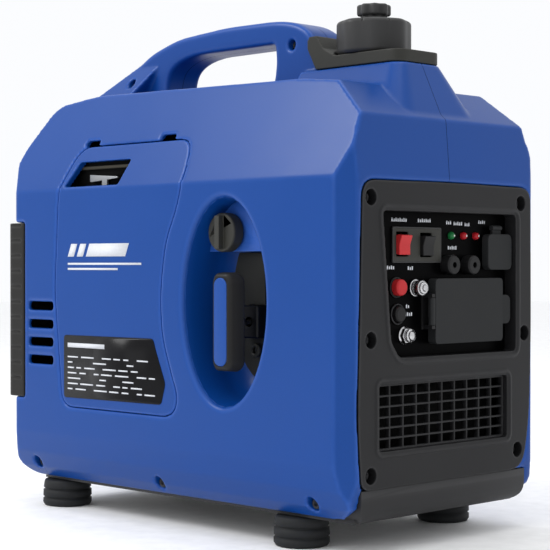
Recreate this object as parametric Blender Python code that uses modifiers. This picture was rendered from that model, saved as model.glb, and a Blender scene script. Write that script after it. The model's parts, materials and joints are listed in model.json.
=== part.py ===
"""A suitcase inverter generator, in metres, +Z up.

The origin is the middle of the base on the floor. +X is the control panel end, and -Y the side with the
starter and the maintenance door. The crankshaft runs along X.
"""

import math

import bmesh
import bpy
from mathutils import Matrix, Vector

# Overall size: front bezel to rear ribs, side to side, and floor to the top of the vent knob.
LENGTH = 0.386
WIDTH = 0.215
HEIGHT = 0.390

GAP = 0.0003  # between pieces that touch on the real machine
WALL = 0.003  # moulded shell thickness
SEAM = 0.0008  # visible gap round a door or a set-in panel

# Shell
RIB_DEPTH = 0.004  # rear ribs stand out this far
BEZEL_PROUD = 0.0015  # the bezel stands out of the shell this far
CAP_STACK = 0.0575  # roof to the top of the vent knob
FLOOR_Z = 0.024  # underside of the shell
LOWER_CREASE_Z = 0.057
CREASE_DROP = 0.0765  # roof down to the crease where the sides start to lean in
LEAN = 0.424  # how far a side leans in for each metre it rises above the crease
UNDERCUT = 0.0115  # how far a side leans in below the lower crease
CORNER = 0.0115  # chamfer of the four upright corners

# Feet
FOOT_R = 0.0198
FOOT_Y = 0.078
FOOT_INSET_FRONT = 0.071
FOOT_INSET_REAR = 0.046

# Front bezel and its two recesses
BEZEL_HALF_W = 0.0955
BEZEL_FOOT_Z = 0.0455
BEZEL_T = 0.003
CONTROL_Y = (-0.071, 0.077)
CONTROL_H = 0.1005
CONTROL_DROP = 0.021  # bezel top down to the control recess
GRILLE_Y = (-0.075, 0.067)
GRILLE_Z = (0.070, 0.116)
GRILLE_COLUMNS = 10
GRILLE_ROWS = 6
GRILLE_BAR = 0.0024
RECESS_DEPTH = 0.0117
COLLAR_T = 0.0025
PANEL_T = 0.003

# Filler, cap and handle
FILLER_INSET = 0.073  # front face back to the filler's axis
NECK_R = 0.019
NECK_BORE_R = 0.016
CAP_R = 0.0275
CAP_CAVITY_R = 0.0238
CAP_T = 0.025
KNOB_R = 0.0125
KNOB_T = 0.0142
SURROUND_HALF_W = 0.0245
HANDLE_HALF_W = 0.018
HANDLE_RISE = 0.0535  # roof to the top of the bar
HANDLE_BAR = 0.0205

# Starter
STARTER_X = 0.0715
STARTER_Z = 0.170
BOWL_RX = 0.043
BOWL_RZ = 0.075
BOWL_DEPTH = 0.044
BOWL_SQUARENESS = 4  # 2 is an ellipse in section, and more has steeper sides and a flatter bottom
BOWL_T = 0.0025
BOWL_FLANGE = 0.0096  # how far its rim runs on behind the shell, above and below
ROPE_X = 0.0645
ROPE_Z = 0.155
ROPE_R = 0.002
GRIP_L = 0.072
GRIP_W = 0.030
GRIP_T = 0.013
GRIP_INSET = 0.0035  # shell side in to the face of the grip
VALVE_KNOB_R = 0.0142
VALVE_KNOB_CLEAR = (0.0173, 0.0108)  # from the recess's side and top to the knob's rim

# Engine
PULLEY_R = 0.040
GROOVE_R = 0.036
PULLEY_T = 0.013
SHAFT_R = 0.008
CASE_X = (-0.085, -0.005)
CASE_HALF_W = 0.045
CASE_Z = (0.070, 0.160)
CYLINDER_X = -0.045
CYLINDER_R = 0.028
FIN_R = 0.037
CYLINDER_H = 0.0445
FIN_COUNT = 5
HEAD_H = 0.0185
STATOR_R = 0.038
FLYWHEEL_R = 0.046
FAN_R = 0.060
FAN_BLADES = 12
TANK_HALF_W = 0.068
TANK_H = 0.069

# Worked out
HALF_L = LENGTH / 2
HALF_W = WIDTH / 2
ROOF_Z = HEIGHT - CAP_STACK
CREASE_Z = ROOF_Z - CREASE_DROP
FRONT_X = HALF_L - BEZEL_PROUD
REAR_X = -HALF_L + RIB_DEPTH
BEZEL_TOP_Z = CREASE_Z - 0.0015
CONTROL_Z = (BEZEL_TOP_Z - CONTROL_DROP - CONTROL_H, BEZEL_TOP_Z - CONTROL_DROP)
PANEL_X = HALF_L - RECESS_DEPTH - GAP
FILLER_X = HALF_L - FILLER_INSET
CAP_TOP_Z = HEIGHT - KNOB_T
CAP_Z = CAP_TOP_Z - CAP_T - GAP
SURROUND_Z = CAP_Z - GAP
CRANK_Z = ROPE_Z - GROOVE_R - ROPE_R - GAP
TRAY_TOP_Z = FLOOR_Z + 0.002
TANK_TOP_Z = ROOF_Z - 0.016
TANK_Z = TANK_TOP_Z - TANK_H

# How each outline lies: its own x and y on two world axes, and its thickness on the third
PLANES = {
    "X": Matrix(((0, 0, 1, 0), (1, 0, 0, 0), (0, 1, 0, 0), (0, 0, 0, 1))),
    "Y": Matrix(((1, 0, 0, 0), (0, 0, -1, 0), (0, 1, 0, 0), (0, 0, 0, 1))),
    "Z": Matrix.Identity(4),
}
UNIT = {"X": Vector((1, 0, 0)), "Y": Vector((0, 1, 0)), "Z": Vector((0, 0, 1))}

MODEL = bpy.data.collections.new("inverter_generator")


def clear_scene():
    for old in list(bpy.data.objects):
        bpy.data.objects.remove(old, do_unlink=True)
    bpy.context.scene.collection.children.link(MODEL)


def solid(mesh):
    """A new object in the model that holds a mesh."""
    made = bpy.data.objects.new("piece", mesh)
    MODEL.objects.link(made)
    return made


def bake(piece):
    """Turns what the modifiers make into the piece's own mesh."""
    bpy.context.view_layer.update()
    shown = piece.evaluated_get(bpy.context.evaluated_depsgraph_get())
    mesh = bpy.data.meshes.new_from_object(shown)
    piece.modifiers.clear()
    piece.data = mesh
    return piece


def combine(piece, tools, operation):
    """Joins, cuts or intersects the piece with each tool, and uses the tools up."""
    for tool in tools:
        step = piece.modifiers.new(operation, "BOOLEAN")
        step.operation = operation
        step.object = tool
    bake(piece)
    for tool in tools:
        bpy.data.objects.remove(tool, do_unlink=True)
    return piece


def cut(piece, *tools):
    return combine(piece, tools, "DIFFERENCE")


def join(piece, *tools):
    return combine(piece, tools, "UNION")


def keep(piece, *tools):
    return combine(piece, tools, "INTERSECT")


def copy_of(piece):
    return solid(piece.data.copy())


def block(x, y, z):
    """A box from its low and high side on each axis."""
    bm = bmesh.new()
    bmesh.ops.create_cube(bm, size=1)
    size = Vector((x[1] - x[0], y[1] - y[0], z[1] - z[0]))
    middle = Vector((x[1] + x[0], y[1] + y[0], z[1] + z[0])) / 2
    bmesh.ops.scale(bm, vec=size, verts=bm.verts)
    bmesh.ops.translate(bm, vec=middle, verts=bm.verts)
    mesh = bpy.data.meshes.new("block")
    bm.to_mesh(mesh)
    bm.free()
    return solid(mesh)


def frustum(x, y, z, top_x, top_y):
    """A box whose top is smaller than its base."""
    made = block(x, y, z)
    for corner in made.data.vertices:
        if corner.co.z > (z[0] + z[1]) / 2:
            corner.co.x = top_x[1] if corner.co.x > sum(x) / 2 else top_x[0]
            corner.co.y = top_y[1] if corner.co.y > sum(y) / 2 else top_y[0]
    return made


def rod(axis, at, radius, low, high, sides=24):
    """A cylinder along an axis, from low to high on it, at the two other coordinates of at."""
    bm = bmesh.new()
    bmesh.ops.create_cone(
        bm, cap_ends=True, segments=sides, radius1=radius, radius2=radius, depth=high - low
    )
    turn = PLANES[axis].to_3x3().to_4x4()
    centre = Vector(at) * 1.0
    centre["XYZ".index(axis)] = (low + high) / 2
    bmesh.ops.transform(bm, matrix=Matrix.Translation(centre) @ turn, verts=bm.verts)
    mesh = bpy.data.meshes.new("rod")
    bm.to_mesh(mesh)
    bm.free()
    return solid(mesh)


def slab(outline, axis, low, high):
    """A flat outline with a thickness from low to high along the axis."""
    curve = bpy.data.curves.new("outline", "CURVE")
    curve.dimensions = "2D"
    curve.fill_mode = "BOTH"
    curve.extrude = (high - low) / 2
    spline = curve.splines.new("POLY")
    spline.points.add(len(outline) - 1)
    for point, (u, v) in zip(spline.points, outline):
        point.co = (u, v, 0, 1)
    spline.use_cyclic_u = True
    return curve_mesh(curve, Matrix.Translation(UNIT[axis] * (low + high) / 2) @ PLANES[axis])


def curve_mesh(curve, placed):
    """The closed mesh of a curve, its caps welded to its sides."""
    drawn = bpy.data.objects.new("curve", curve)
    MODEL.objects.link(drawn)
    bpy.context.view_layer.update()
    shown = drawn.evaluated_get(bpy.context.evaluated_depsgraph_get())
    mesh = bpy.data.meshes.new_from_object(shown)
    bpy.data.objects.remove(drawn, do_unlink=True)
    bm = bmesh.new()
    bm.from_mesh(mesh)
    bmesh.ops.remove_doubles(bm, verts=bm.verts, dist=0.00001)
    bmesh.ops.transform(bm, matrix=placed, verts=bm.verts)
    bmesh.ops.recalc_face_normals(bm, faces=bm.faces)
    bm.to_mesh(mesh)
    bm.free()
    return solid(mesh)


def tube(points, radius):
    """A round bar through the points."""
    curve = bpy.data.curves.new("bar", "CURVE")
    curve.dimensions = "3D"
    curve.bevel_depth = radius
    curve.bevel_resolution = 2
    curve.use_fill_caps = True
    spline = curve.splines.new("POLY")
    spline.points.add(len(points) - 1)
    for point, at in zip(spline.points, points):
        point.co = (*at, 1)
    return curve_mesh(curve, Matrix.Identity(4))


def turned(profile, axis, at, steps=24):
    """A profile of (radius, height) from top to bottom, turned round the axis through at."""
    mesh = bpy.data.meshes.new("turned")
    edges = [(i, i + 1) for i in range(len(profile) - 1)]
    if profile[0][0] > 0:
        edges.append((len(profile) - 1, 0))
    mesh.from_pydata([(r, 0, h) for r, h in profile], edges, [])
    made = solid(mesh)
    screw = made.modifiers.new("turn", "SCREW")
    screw.steps = steps
    screw.render_steps = steps
    screw.use_merge_vertices = True
    screw.merge_threshold = 0.00001
    bake(made)
    made.data.transform(Matrix.Translation(Vector(at)) @ PLANES[axis])
    return made


def soften(piece, width, segments=2, angle=35):
    """Rounds the edges that turn more than an angle."""
    edge = piece.modifiers.new("edges", "BEVEL")
    edge.width = width
    edge.segments = segments
    edge.limit_method = "ANGLE"
    edge.angle_limit = math.radians(angle)
    return bake(piece)


def arc(centre, radii, start, end, count):
    """Points on an ellipse from one angle to another, in degrees."""
    steps = [math.radians(start + (end - start) * i / count) for i in range(count + 1)]
    return [(centre[0] + radii[0] * math.cos(a), centre[1] + radii[1] * math.sin(a)) for a in steps]


def ellipse(centre, radii, count):
    return arc(centre, radii, 0, 360, count)[:-1]


def rounded(u, v, radius, count=3):
    """A rectangle with round corners."""
    low_u, high_u = u[0] + radius, u[1] - radius
    low_v, high_v = v[0] + radius, v[1] - radius
    corners = ((high_u, low_v, -90), (high_u, high_v, 0), (low_u, high_v, 90), (low_u, low_v, 180))
    outline = []
    for cu, cv, start in corners:
        outline += arc((cu, cv), (radius, radius), start, start + 90, count)
    return outline


def lobed(centre, radius, depth, lobes, per_lobe=4):
    """A circle with shallow scallops."""
    outline = []
    for i in range(lobes * per_lobe):
        a = 2 * math.pi * i / (lobes * per_lobe)
        r = radius - depth / 2 + depth / 2 * math.cos(a * lobes)
        outline.append((centre[0] + r * math.cos(a), centre[1] + r * math.sin(a)))
    return outline


def inset(outline, distance):
    """A convex outline, listed anticlockwise, with every side moved in."""
    lines = []
    for (u0, v0), (u1, v1) in zip(outline, outline[1:] + outline[:1]):
        length = math.hypot(u1 - u0, v1 - v0)
        nu, nv = -(v1 - v0) / length, (u1 - u0) / length
        lines.append((nu, nv, nu * u0 + nv * v0 + distance))
    result = []
    for (a, b, c), (d, e, f) in zip(lines[-1:] + lines[:-1], lines):
        det = a * e - b * d
        result.append(((c * e - b * f) / det, (a * f - c * d) / det))
    return result


def smooth(piece):
    piece.data.shade_smooth()
    piece.data.set_sharp_from_angle(angle=math.radians(35))


def name_piece(name, piece, colour, roughness, metallic=0.0, pivot=None):
    """Names a finished node, gives it its own material, and sets its origin."""
    piece.name = name
    piece.data.name = name
    paint = bpy.data.materials.new(name)
    paint.use_nodes = True
    shader = paint.node_tree.nodes["Principled BSDF"]
    shader.inputs["Base Color"].default_value = (*colour, 1)
    shader.inputs["Roughness"].default_value = roughness
    shader.inputs["Metallic"].default_value = metallic
    piece.data.materials.clear()
    piece.data.materials.append(paint)
    smooth(piece)
    if pivot:
        piece.data.transform(Matrix.Translation(-Vector(pivot)))
        piece.location = pivot
    return piece


BLUE = (0.03, 0.09, 0.42)
GREY = (0.035, 0.035, 0.033)
BLACK = (0.012, 0.012, 0.012)
STEEL = (0.55, 0.55, 0.57)
ALLOY = (0.42, 0.43, 0.44)


# --- Shell ---------------------------------------------------------------------------------------


def side_outline():
    """The body seen from the side, anticlockwise from the rear of the underside."""
    return [
        (REAR_X + 0.015, FLOOR_Z),
        (FRONT_X - 0.018, FLOOR_Z),
        (FRONT_X - 0.005, FLOOR_Z + 0.009),
        (FRONT_X, FLOOR_Z + 0.028),
        (FRONT_X, CREASE_Z),
        (FRONT_X - 0.0035, CREASE_Z + 0.043),
        (FRONT_X - 0.0335, ROOF_Z - 0.009),
        (FRONT_X - 0.0700, ROOF_Z - 0.005),
        (REAR_X + 0.060, ROOF_Z),
        (REAR_X + 0.027, ROOF_Z - 0.0035),
        (REAR_X + 0.011, ROOF_Z - 0.016),
        (REAR_X + 0.003, ROOF_Z - 0.035),
        (REAR_X, CREASE_Z),
        (REAR_X, FLOOR_Z + 0.028),
        (REAR_X + 0.004, FLOOR_Z + 0.010),
    ]


def end_outline():
    """The body seen from the front, anticlockwise; the sides run on past the roof."""
    over = ROOF_Z + 0.02
    top = HALF_W - (over - CREASE_Z) * LEAN
    right = [
        (HALF_W - UNDERCUT, FLOOR_Z - 0.001),
        (HALF_W, LOWER_CREASE_Z),
        (HALF_W, CREASE_Z),
        (top, over),
    ]
    return right + [(-y, z) for y, z in reversed(right)]


def plan_outline():
    """The body seen from above, anticlockwise, with its corners cut off."""
    return [
        (REAR_X + CORNER, -HALF_W),
        (FRONT_X - CORNER, -HALF_W),
        (FRONT_X, -HALF_W + CORNER),
        (FRONT_X, HALF_W - CORNER),
        (FRONT_X - CORNER, HALF_W),
        (REAR_X + CORNER, HALF_W),
        (REAR_X, HALF_W - CORNER),
        (REAR_X, -HALF_W + CORNER),
    ]


def body_volume(inward):
    """The whole body as one block, with every face moved in."""
    reach = 0.3
    volume = slab(inset(side_outline(), inward), "Y", -reach, reach)
    across = slab(inset(end_outline(), inward), "X", -reach, reach)
    down = slab(inset(plan_outline(), inward), "Z", -reach, HEIGHT + reach)
    return keep(volume, across, down)


def wall_within(tool):
    """The piece of the shell's wall that lies inside a tool."""
    return keep(cut(body_volume(0), body_volume(WALL)), tool)


def handle_outline():
    """The grab handle from the side: over the top from rear to front, and back under the bar."""
    top = ROOF_Z + HANDLE_RISE
    under = top - HANDLE_BAR
    front = FILLER_X - 0.046
    rear = REAR_X + 0.012
    sunk = ROOF_Z - 0.015
    return [
        (rear, sunk),
        (rear + 0.020, ROOF_Z + 0.020),
        (rear + 0.034, ROOF_Z + 0.030),
        (rear + 0.066, ROOF_Z + 0.0415),
        (rear + 0.108, top - 0.0025),
        (rear + 0.156, top),
        (front - 0.040, top - 0.001),
        (front - 0.022, top - 0.005),
        (front - 0.010, top - 0.010),
        (front + 0.001, top - 0.019),
        (front + 0.001, sunk),
        (front - 0.0265, sunk),
        (front - 0.0270, under - 0.006),
        (front - 0.0330, under),
        (rear + 0.108, under - 0.001),
        (rear + 0.084, under - 0.007),
        (rear + 0.073, under - 0.018),
        (rear + 0.069, sunk),
    ]


def handle():
    bar = soften(slab(handle_outline(), "Y", -HANDLE_HALF_W, HANDLE_HALF_W), 0.006, 2)
    rear = REAR_X + 0.012
    root = frustum(
        (rear, rear + 0.068), (-0.046, 0.046), (ROOF_Z - 0.015, ROOF_Z + 0.020),
        (rear + 0.020, rear + 0.066), (-0.012, 0.012),
    )
    return join(bar, root)


def filler_mound():
    """The raised foot under the filler's surround."""
    foot = ROOF_Z - 0.030
    lip = SURROUND_Z - 0.009 - GAP
    rear = FILLER_X - 0.052
    return frustum(
        (rear, FILLER_X + 0.0535), (-0.046, 0.046), (foot, lip),
        (rear, FILLER_X + 0.0455), (-SURROUND_HALF_W, SURROUND_HALF_W),
    )


def door_outline():
    """The maintenance door from the side, anticlockwise: a round front edge that follows the starter."""
    foot = LOWER_CREASE_Z + 0.027
    top = CREASE_Z + 0.034
    rear = -0.122
    return [
        (rear + 0.012, foot),
        (0.010, foot),
        (0.019, foot + 0.005),
        (0.0235, foot + 0.016),
        (0.019, foot + 0.0275),
        (0.0107, foot + 0.040),
        (0.0057, foot + 0.056),
        (0.0033, foot + 0.082),
        (0.0033, foot + 0.101),
        (0.0090, foot + 0.130),
        (0.0190, foot + 0.149),
        (0.0260, CREASE_Z - 0.006),
        (0.0270, CREASE_Z + 0.008),
        (0.0250, top - 0.010),
        (0.0170, top),
        (rear + 0.022, top),
        (rear + 0.009, top - 0.008),
        (rear + 0.003, CREASE_Z + 0.006),
        (rear, CREASE_Z - 0.006),
        (rear - 0.003, CREASE_Z - 0.070),
        (rear - 0.002, foot + 0.050),
        (rear + 0.003, foot + 0.010),
    ]


def shrink(outline, distance):
    """An outline of any shape with its points moved in along their corners."""
    result = []
    count = len(outline)
    for i, (u, v) in enumerate(outline):
        before = Vector(outline[i - 1])
        after = Vector(outline[(i + 1) % count])
        here = Vector((u, v))
        first = (here - before).normalized()
        second = (after - here).normalized()
        bisector = Vector((-first.y - second.y, first.x + second.x)).normalized()
        reach = distance / max(0.5, bisector.dot(Vector((-first.y, first.x))))
        result.append(tuple(here + bisector * reach))
    return result


def window_outline():
    """The choke window in the door, a slot that slopes at its ends."""
    low = CREASE_Z + 0.002
    high = CREASE_Z + 0.0215
    return [(-0.115, low), (-0.048, low), (-0.041, high), (-0.104, high)]


def louvre_box(clear):
    return block(
        (REAR_X - 0.02, -HALF_L + 0.027 - clear),
        (-HALF_W - 0.02, HALF_W + 0.02),
        (0.088 + clear, 0.2315 - clear),
    )


def bezel_screws():
    """Where the six bezel screws sit, as (y, z)."""
    side = BEZEL_HALF_W - 0.0125
    middle = CONTROL_Z[0] + 0.013
    return [
        (sign * side, z)
        for sign in (-1, 1)
        for z in (BEZEL_TOP_Z - 0.0125, middle, BEZEL_FOOT_Z + 0.0095)
    ]


def shell_halves():
    shell = join(body_volume(0), handle(), filler_mound())
    cut(shell, body_volume(WALL))
    bezel_hole = slab(
        rounded(
            (-BEZEL_HALF_W - SEAM, BEZEL_HALF_W + SEAM),
            (FLOOR_Z - 0.02, BEZEL_TOP_Z + SEAM),
            0.010,
        ),
        "X", FRONT_X - 0.020, FRONT_X + 0.02,
    )
    tray_hole = block(
        (REAR_X + 0.024, FRONT_X - 0.010),
        (-HALF_W + 0.020, HALF_W - 0.020),
        (FLOOR_Z - 0.01, FLOOR_Z + WALL + 0.001),
    )
    neck_hole = rod("Z", (FILLER_X, 0, 0), NECK_R + 0.0012, ROOF_Z - 0.05, ROOF_Z + 0.04)
    cut(shell, bezel_hole, tray_hole, neck_hole, louvre_box(0))
    reach = HALF_L + 0.1
    left = copy_of(shell)
    keep(left, block((-reach, reach), (-reach, -GAP / 2), (-0.1, HEIGHT + 0.1)))
    right = keep(shell, block((-reach, reach), (GAP / 2, reach), (-0.1, HEIGHT + 0.1)))

    outside = -HALF_W - 0.02
    door_hole = slab(door_outline(), "Y", outside, -HALF_W + 0.045)
    hook_holes = [
        block((x, x + 0.017), (outside, -HALF_W + 0.03), (CREASE_Z + 0.033, CREASE_Z + 0.0385))
        for x in (-0.104, -0.0135)
    ]
    bowl_hole = slab(
        ellipse((STARTER_X, STARTER_Z), (BOWL_RX, BOWL_RZ), 40), "Y", outside, -HALF_W + 0.02
    )
    vents = [
        block((-0.161, -0.128), (outside, -HALF_W + 0.02), (z, z + 0.0068))
        for z in (0.1165, 0.131, 0.1455, 0.160)
    ]
    cut(left, door_hole, *hook_holes, bowl_hole, *vents)
    name_piece("shell_left", left, BLUE, 0.38)
    name_piece("shell_right", right, BLUE, 0.38)


def maintenance_door():
    door = slab(shrink(door_outline(), SEAM), "Y", -HALF_W - 0.02, -0.02)
    door = wall_within(door)
    cut(door, slab(window_outline(), "Y", -HALF_W - 0.02, -0.02))
    top = CREASE_Z + 0.034 - SEAM
    hinge = (-0.05, -HALF_W + (top - CREASE_Z) * LEAN, top)
    name_piece("maintenance_door", door, BLUE, 0.38, pivot=hinge)


def rear_louvre():
    louvre = wall_within(louvre_box(SEAM))
    low, high = 0.0925, 0.227
    count = 9
    pitch = (high - low) / count
    ribs = [
        block(
            (-HALF_L, REAR_X + WALL / 2),
            (-HALF_W + CORNER, HALF_W - CORNER),
            (low + pitch * i, low + pitch * i + 0.0075),
        )
        for i in range(count)
    ]
    slots = [
        block(
            (-HALF_L - 0.01, REAR_X + 0.02),
            (-HALF_W + 0.022, HALF_W - 0.022),
            (low + pitch * i + 0.0085, low + pitch * (i + 1) - 0.001),
        )
        for i in range(count - 1)
    ]
    join(louvre, *ribs)
    pipe_hole = rod("X", (0, *TAILPIPE), TAILPIPE_R + 0.0015, -HALF_L - 0.01, REAR_X + 0.02)
    cut(louvre, *slots, pipe_hole)
    name_piece("rear_louvre", louvre, GREY, 0.6)


def bottom_tray():
    plate = block(
        (REAR_X + 0.0245, FRONT_X - 0.012),
        (-HALF_W + 0.0205, HALF_W - 0.0205),
        (FLOOR_Z - 0.0025, TRAY_TOP_Z),
    )
    chin = wall_within(
        block(
            (FRONT_X - 0.0190, HALF_L),
            (-BEZEL_HALF_W, BEZEL_HALF_W),
            (FLOOR_Z - 0.01, BEZEL_FOOT_Z - GAP),
        )
    )
    name_piece("bottom_tray", join(plate, chin), GREY, 0.6)


def feet():
    places = {
        "foot_front_left": (HALF_L - FOOT_INSET_FRONT, -FOOT_Y),
        "foot_front_right": (HALF_L - FOOT_INSET_FRONT, FOOT_Y),
        "foot_rear_left": (-HALF_L + FOOT_INSET_REAR, -FOOT_Y),
        "foot_rear_right": (-HALF_L + FOOT_INSET_REAR, FOOT_Y),
    }
    top = FLOOR_Z - 0.0025 - GAP
    for name, (x, y) in places.items():
        profile = [(0, top), (FOOT_R - 0.001, top), (FOOT_R, 0.003), (FOOT_R - 0.003, 0), (0, 0)]
        name_piece(name, turned(profile, "Z", (x, y, 0), 24), BLACK, 0.8)


# --- Front end -----------------------------------------------------------------------------------


def recess_collar(y, z, radius):
    """The wall that runs back from the bezel round a recess, as its outside and its opening."""
    wide = (y[0] - COLLAR_T, y[1] + COLLAR_T)
    tall = (z[0] - COLLAR_T, z[1] + COLLAR_T)
    face = HALF_L
    outside = slab(rounded(wide, tall, radius + COLLAR_T), "X", face - RECESS_DEPTH, face - 0.001)
    opening = slab(rounded(y, z, radius), "X", face - RECESS_DEPTH - 0.01, face + 0.01)
    return outside, opening


def front_bezel():
    plate = slab(
        rounded((-BEZEL_HALF_W, BEZEL_HALF_W), (BEZEL_FOOT_Z, BEZEL_TOP_Z), 0.0092),
        "X", HALF_L - BEZEL_T, HALF_L,
    )
    collar, control_hole = recess_collar(CONTROL_Y, CONTROL_Z, 0.005)
    duct, grille_hole = recess_collar(GRILLE_Y, GRILLE_Z, 0.003)
    join(plate, collar, duct)
    holes = [rod("X", (0, y, z), 0.0042, HALF_L - 0.02, HALF_L + 0.01, 12) for y, z in bezel_screws()]
    cut(plate, control_hole, grille_hole, *holes)
    name_piece("front_bezel", plate, GREY, 0.55)


def front_grille():
    y = (GRILLE_Y[0] + GAP, GRILLE_Y[1] - GAP)
    z = (GRILLE_Z[0] + GAP, GRILLE_Z[1] - GAP)
    front = HALF_L - 0.005
    plate = slab(rounded(y, z, 0.0028), "X", front - 0.004, front)
    pitch_y = (y[1] - y[0] - GRILLE_BAR) / GRILLE_COLUMNS
    pitch_z = (z[1] - z[0] - GRILLE_BAR) / GRILLE_ROWS
    holes = []
    for column in range(GRILLE_COLUMNS):
        for row in range(GRILLE_ROWS):
            low_y = y[0] + GRILLE_BAR + pitch_y * column
            low_z = z[0] + GRILLE_BAR + pitch_z * row
            holes.append(
                block(
                    (front - 0.01, front + 0.01),
                    (low_y, low_y + pitch_y - GRILLE_BAR),
                    (low_z, low_z + pitch_z - GRILLE_BAR),
                )
            )
    name_piece("front_grille", cut(plate, *holes), BLACK, 0.5)


# Places on the control panel, as (y, z) from the middle of its top edge
def on_panel(y, drop):
    return (y, CONTROL_Z[1] - drop)


ENGINE_SWITCH = on_panel(-0.0405, 0.0225)
ECO_SWITCH = on_panel(-0.0150, 0.0230)
SWITCH_PLATE = ((-0.0495, 0.0008), (0.0115, 0.0345))
LAMPS = {"output_lamp": 0.0140, "overload_lamp": 0.0280, "oil_lamp": 0.0420}
LAMP_DROP = 0.0160
PARALLEL_SOCKETS = {"parallel_socket_1": 0.0085, "parallel_socket_2": 0.0315}
PARALLEL_DROP = 0.0370
RESET_BUTTON = on_panel(-0.0455, 0.0525)
GROUND_TERMINAL = on_panel(-0.0265, 0.0530)
BREAKER_BUTTON = on_panel(-0.0445, 0.0710)
SERVICE_TERMINAL = on_panel(-0.0370, 0.0860)
DC_SOCKET = on_panel(0.0610, 0.0275)
DC_HALF = (0.0140, 0.0130)
OUTLET = on_panel(0.0245, 0.0695)
OUTLET_HALF = (0.0385, 0.0230)
ROCKER_HALF = (0.0058, 0.0075)
BUTTON_R = 0.0058
WING_SPAN = 0.0072  # half the wing nut's width, short of the outlet cover as it opens
COVER_T = 0.0073
HINGE_OUT = 0.0012  # the outlet cover's hinge axis lies this far behind its front face
LUG = (0.0098, 0.0123)  # from the middle of the hinge, where each lug starts and ends


def rocker_hole(at, grow):
    half_y = ROCKER_HALF[0] + grow
    half_z = ROCKER_HALF[1] + 0.0006 + grow
    return block(
        (PANEL_X - 0.01, PANEL_X + 0.01),
        (at[0] - half_y, at[0] + half_y),
        (at[1] - half_z, at[1] + half_z),
    )


def control_panel():
    margin = 0.006
    panel = block(
        (PANEL_X - PANEL_T, PANEL_X),
        (CONTROL_Y[0] - margin, CONTROL_Y[1] + margin),
        (CONTROL_Z[0] - margin, CONTROL_Z[1] + margin),
    )
    span = (PANEL_X - 0.01, PANEL_X + 0.01)
    holes = [rocker_hole(at, 0.0006) for at in (ENGINE_SWITCH, ECO_SWITCH)]
    for y in LAMPS.values():
        holes.append(rod("X", (0, *on_panel(y, LAMP_DROP)), 0.0033, *span, 12))
    for y in PARALLEL_SOCKETS.values():
        holes.append(rod("X", (0, *on_panel(y, PARALLEL_DROP)), 0.0058, *span, 16))
    for at in (RESET_BUTTON, BREAKER_BUTTON):
        holes.append(rod("X", (0, *at), BUTTON_R + 0.0006, *span, 16))
    for at in (GROUND_TERMINAL, SERVICE_TERMINAL):
        holes.append(rod("X", (0, *at), 0.0033, *span, 12))
    holes.append(rod("X", (0, *DC_SOCKET), 0.0103, *span, 20))
    holes.append(
        block(
            span,
            (OUTLET[0] - 0.0335, OUTLET[0] + 0.0335),
            (OUTLET[1] - 0.0185, OUTLET[1] + 0.0185),
        )
    )
    name_piece("control_panel", cut(panel, *holes), BLACK, 0.45)


def switch_plate():
    low, high = SWITCH_PLATE[1]
    plate = slab(
        rounded(SWITCH_PLATE[0], (CONTROL_Z[1] - high, CONTROL_Z[1] - low), 0.001, 2),
        "X", PANEL_X + GAP, PANEL_X + 0.0016,
    )
    cut(plate, rocker_hole(ENGINE_SWITCH, GAP), rocker_hole(ECO_SWITCH, GAP))
    name_piece("switch_plate", plate, (0.09, 0.09, 0.09), 0.5)


def rocker(name, at, tilt, colour):
    """A rocker switch: two faces that meet at a shallow crease, on a pivot along Y behind them."""
    pivot = (PANEL_X + 0.0005, at[0], at[1])
    half_y, half_z = ROCKER_HALF
    tall = half_z - 0.0006
    outline = [
        (-0.006, -tall * 0.55),
        (0.0010, -tall),
        (0.0048, -tall),
        (0.0036, 0),
        (0.0048, tall),
        (0.0010, tall),
        (-0.006, tall * 0.55),
    ]
    made = slab(outline, "Y", -half_y, half_y)
    turn = Matrix.Rotation(math.radians(tilt), 4, "Y")
    made.data.transform(Matrix.Translation(Vector(pivot)) @ turn)
    name_piece(name, made, colour, 0.35, pivot=pivot)


def lamps_and_buttons():
    colours = {"output_lamp": (0.02, 0.25, 0.08), "overload_lamp": (0.35, 0.03, 0.03),
               "oil_lamp": (0.40, 0.02, 0.03)}
    for name, y in LAMPS.items():
        profile = [(0, 0.0035), (0.0018, 0.0030), (0.0028, 0.0012), (0.0028, -0.004), (0, -0.004)]
        at = (PANEL_X, *on_panel(y, LAMP_DROP))
        name_piece(name, turned(profile, "X", at, 12), colours[name], 0.2)
    for name, at, colour, out in (
        ("reset_button", RESET_BUTTON, (0.55, 0.03, 0.03), 0.0065),
        ("breaker_button", BREAKER_BUTTON, BLACK, 0.0045),
    ):
        profile = [
            (0, out), (BUTTON_R - 0.0012, out), (BUTTON_R, out - 0.0012), (BUTTON_R, -0.006), (0, -0.006)
        ]
        place = (PANEL_X, *at)
        name_piece(name, turned(profile, "X", place, 20), colour, 0.35, pivot=place)
    for name, y in PARALLEL_SOCKETS.items():
        rim = 0.0070
        profile = [
            (0, -0.001), (0.0021, -0.001), (0.0021, 0.0085), (rim - 0.001, 0.0085), (rim, 0.0075),
            (rim, GAP), (0.0055, GAP), (0.0055, -0.012), (0, -0.012),
        ]
        at = (PANEL_X, *on_panel(y, PARALLEL_DROP))
        name_piece(name, turned(profile, "X", at, 16), BLACK, 0.4)


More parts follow.
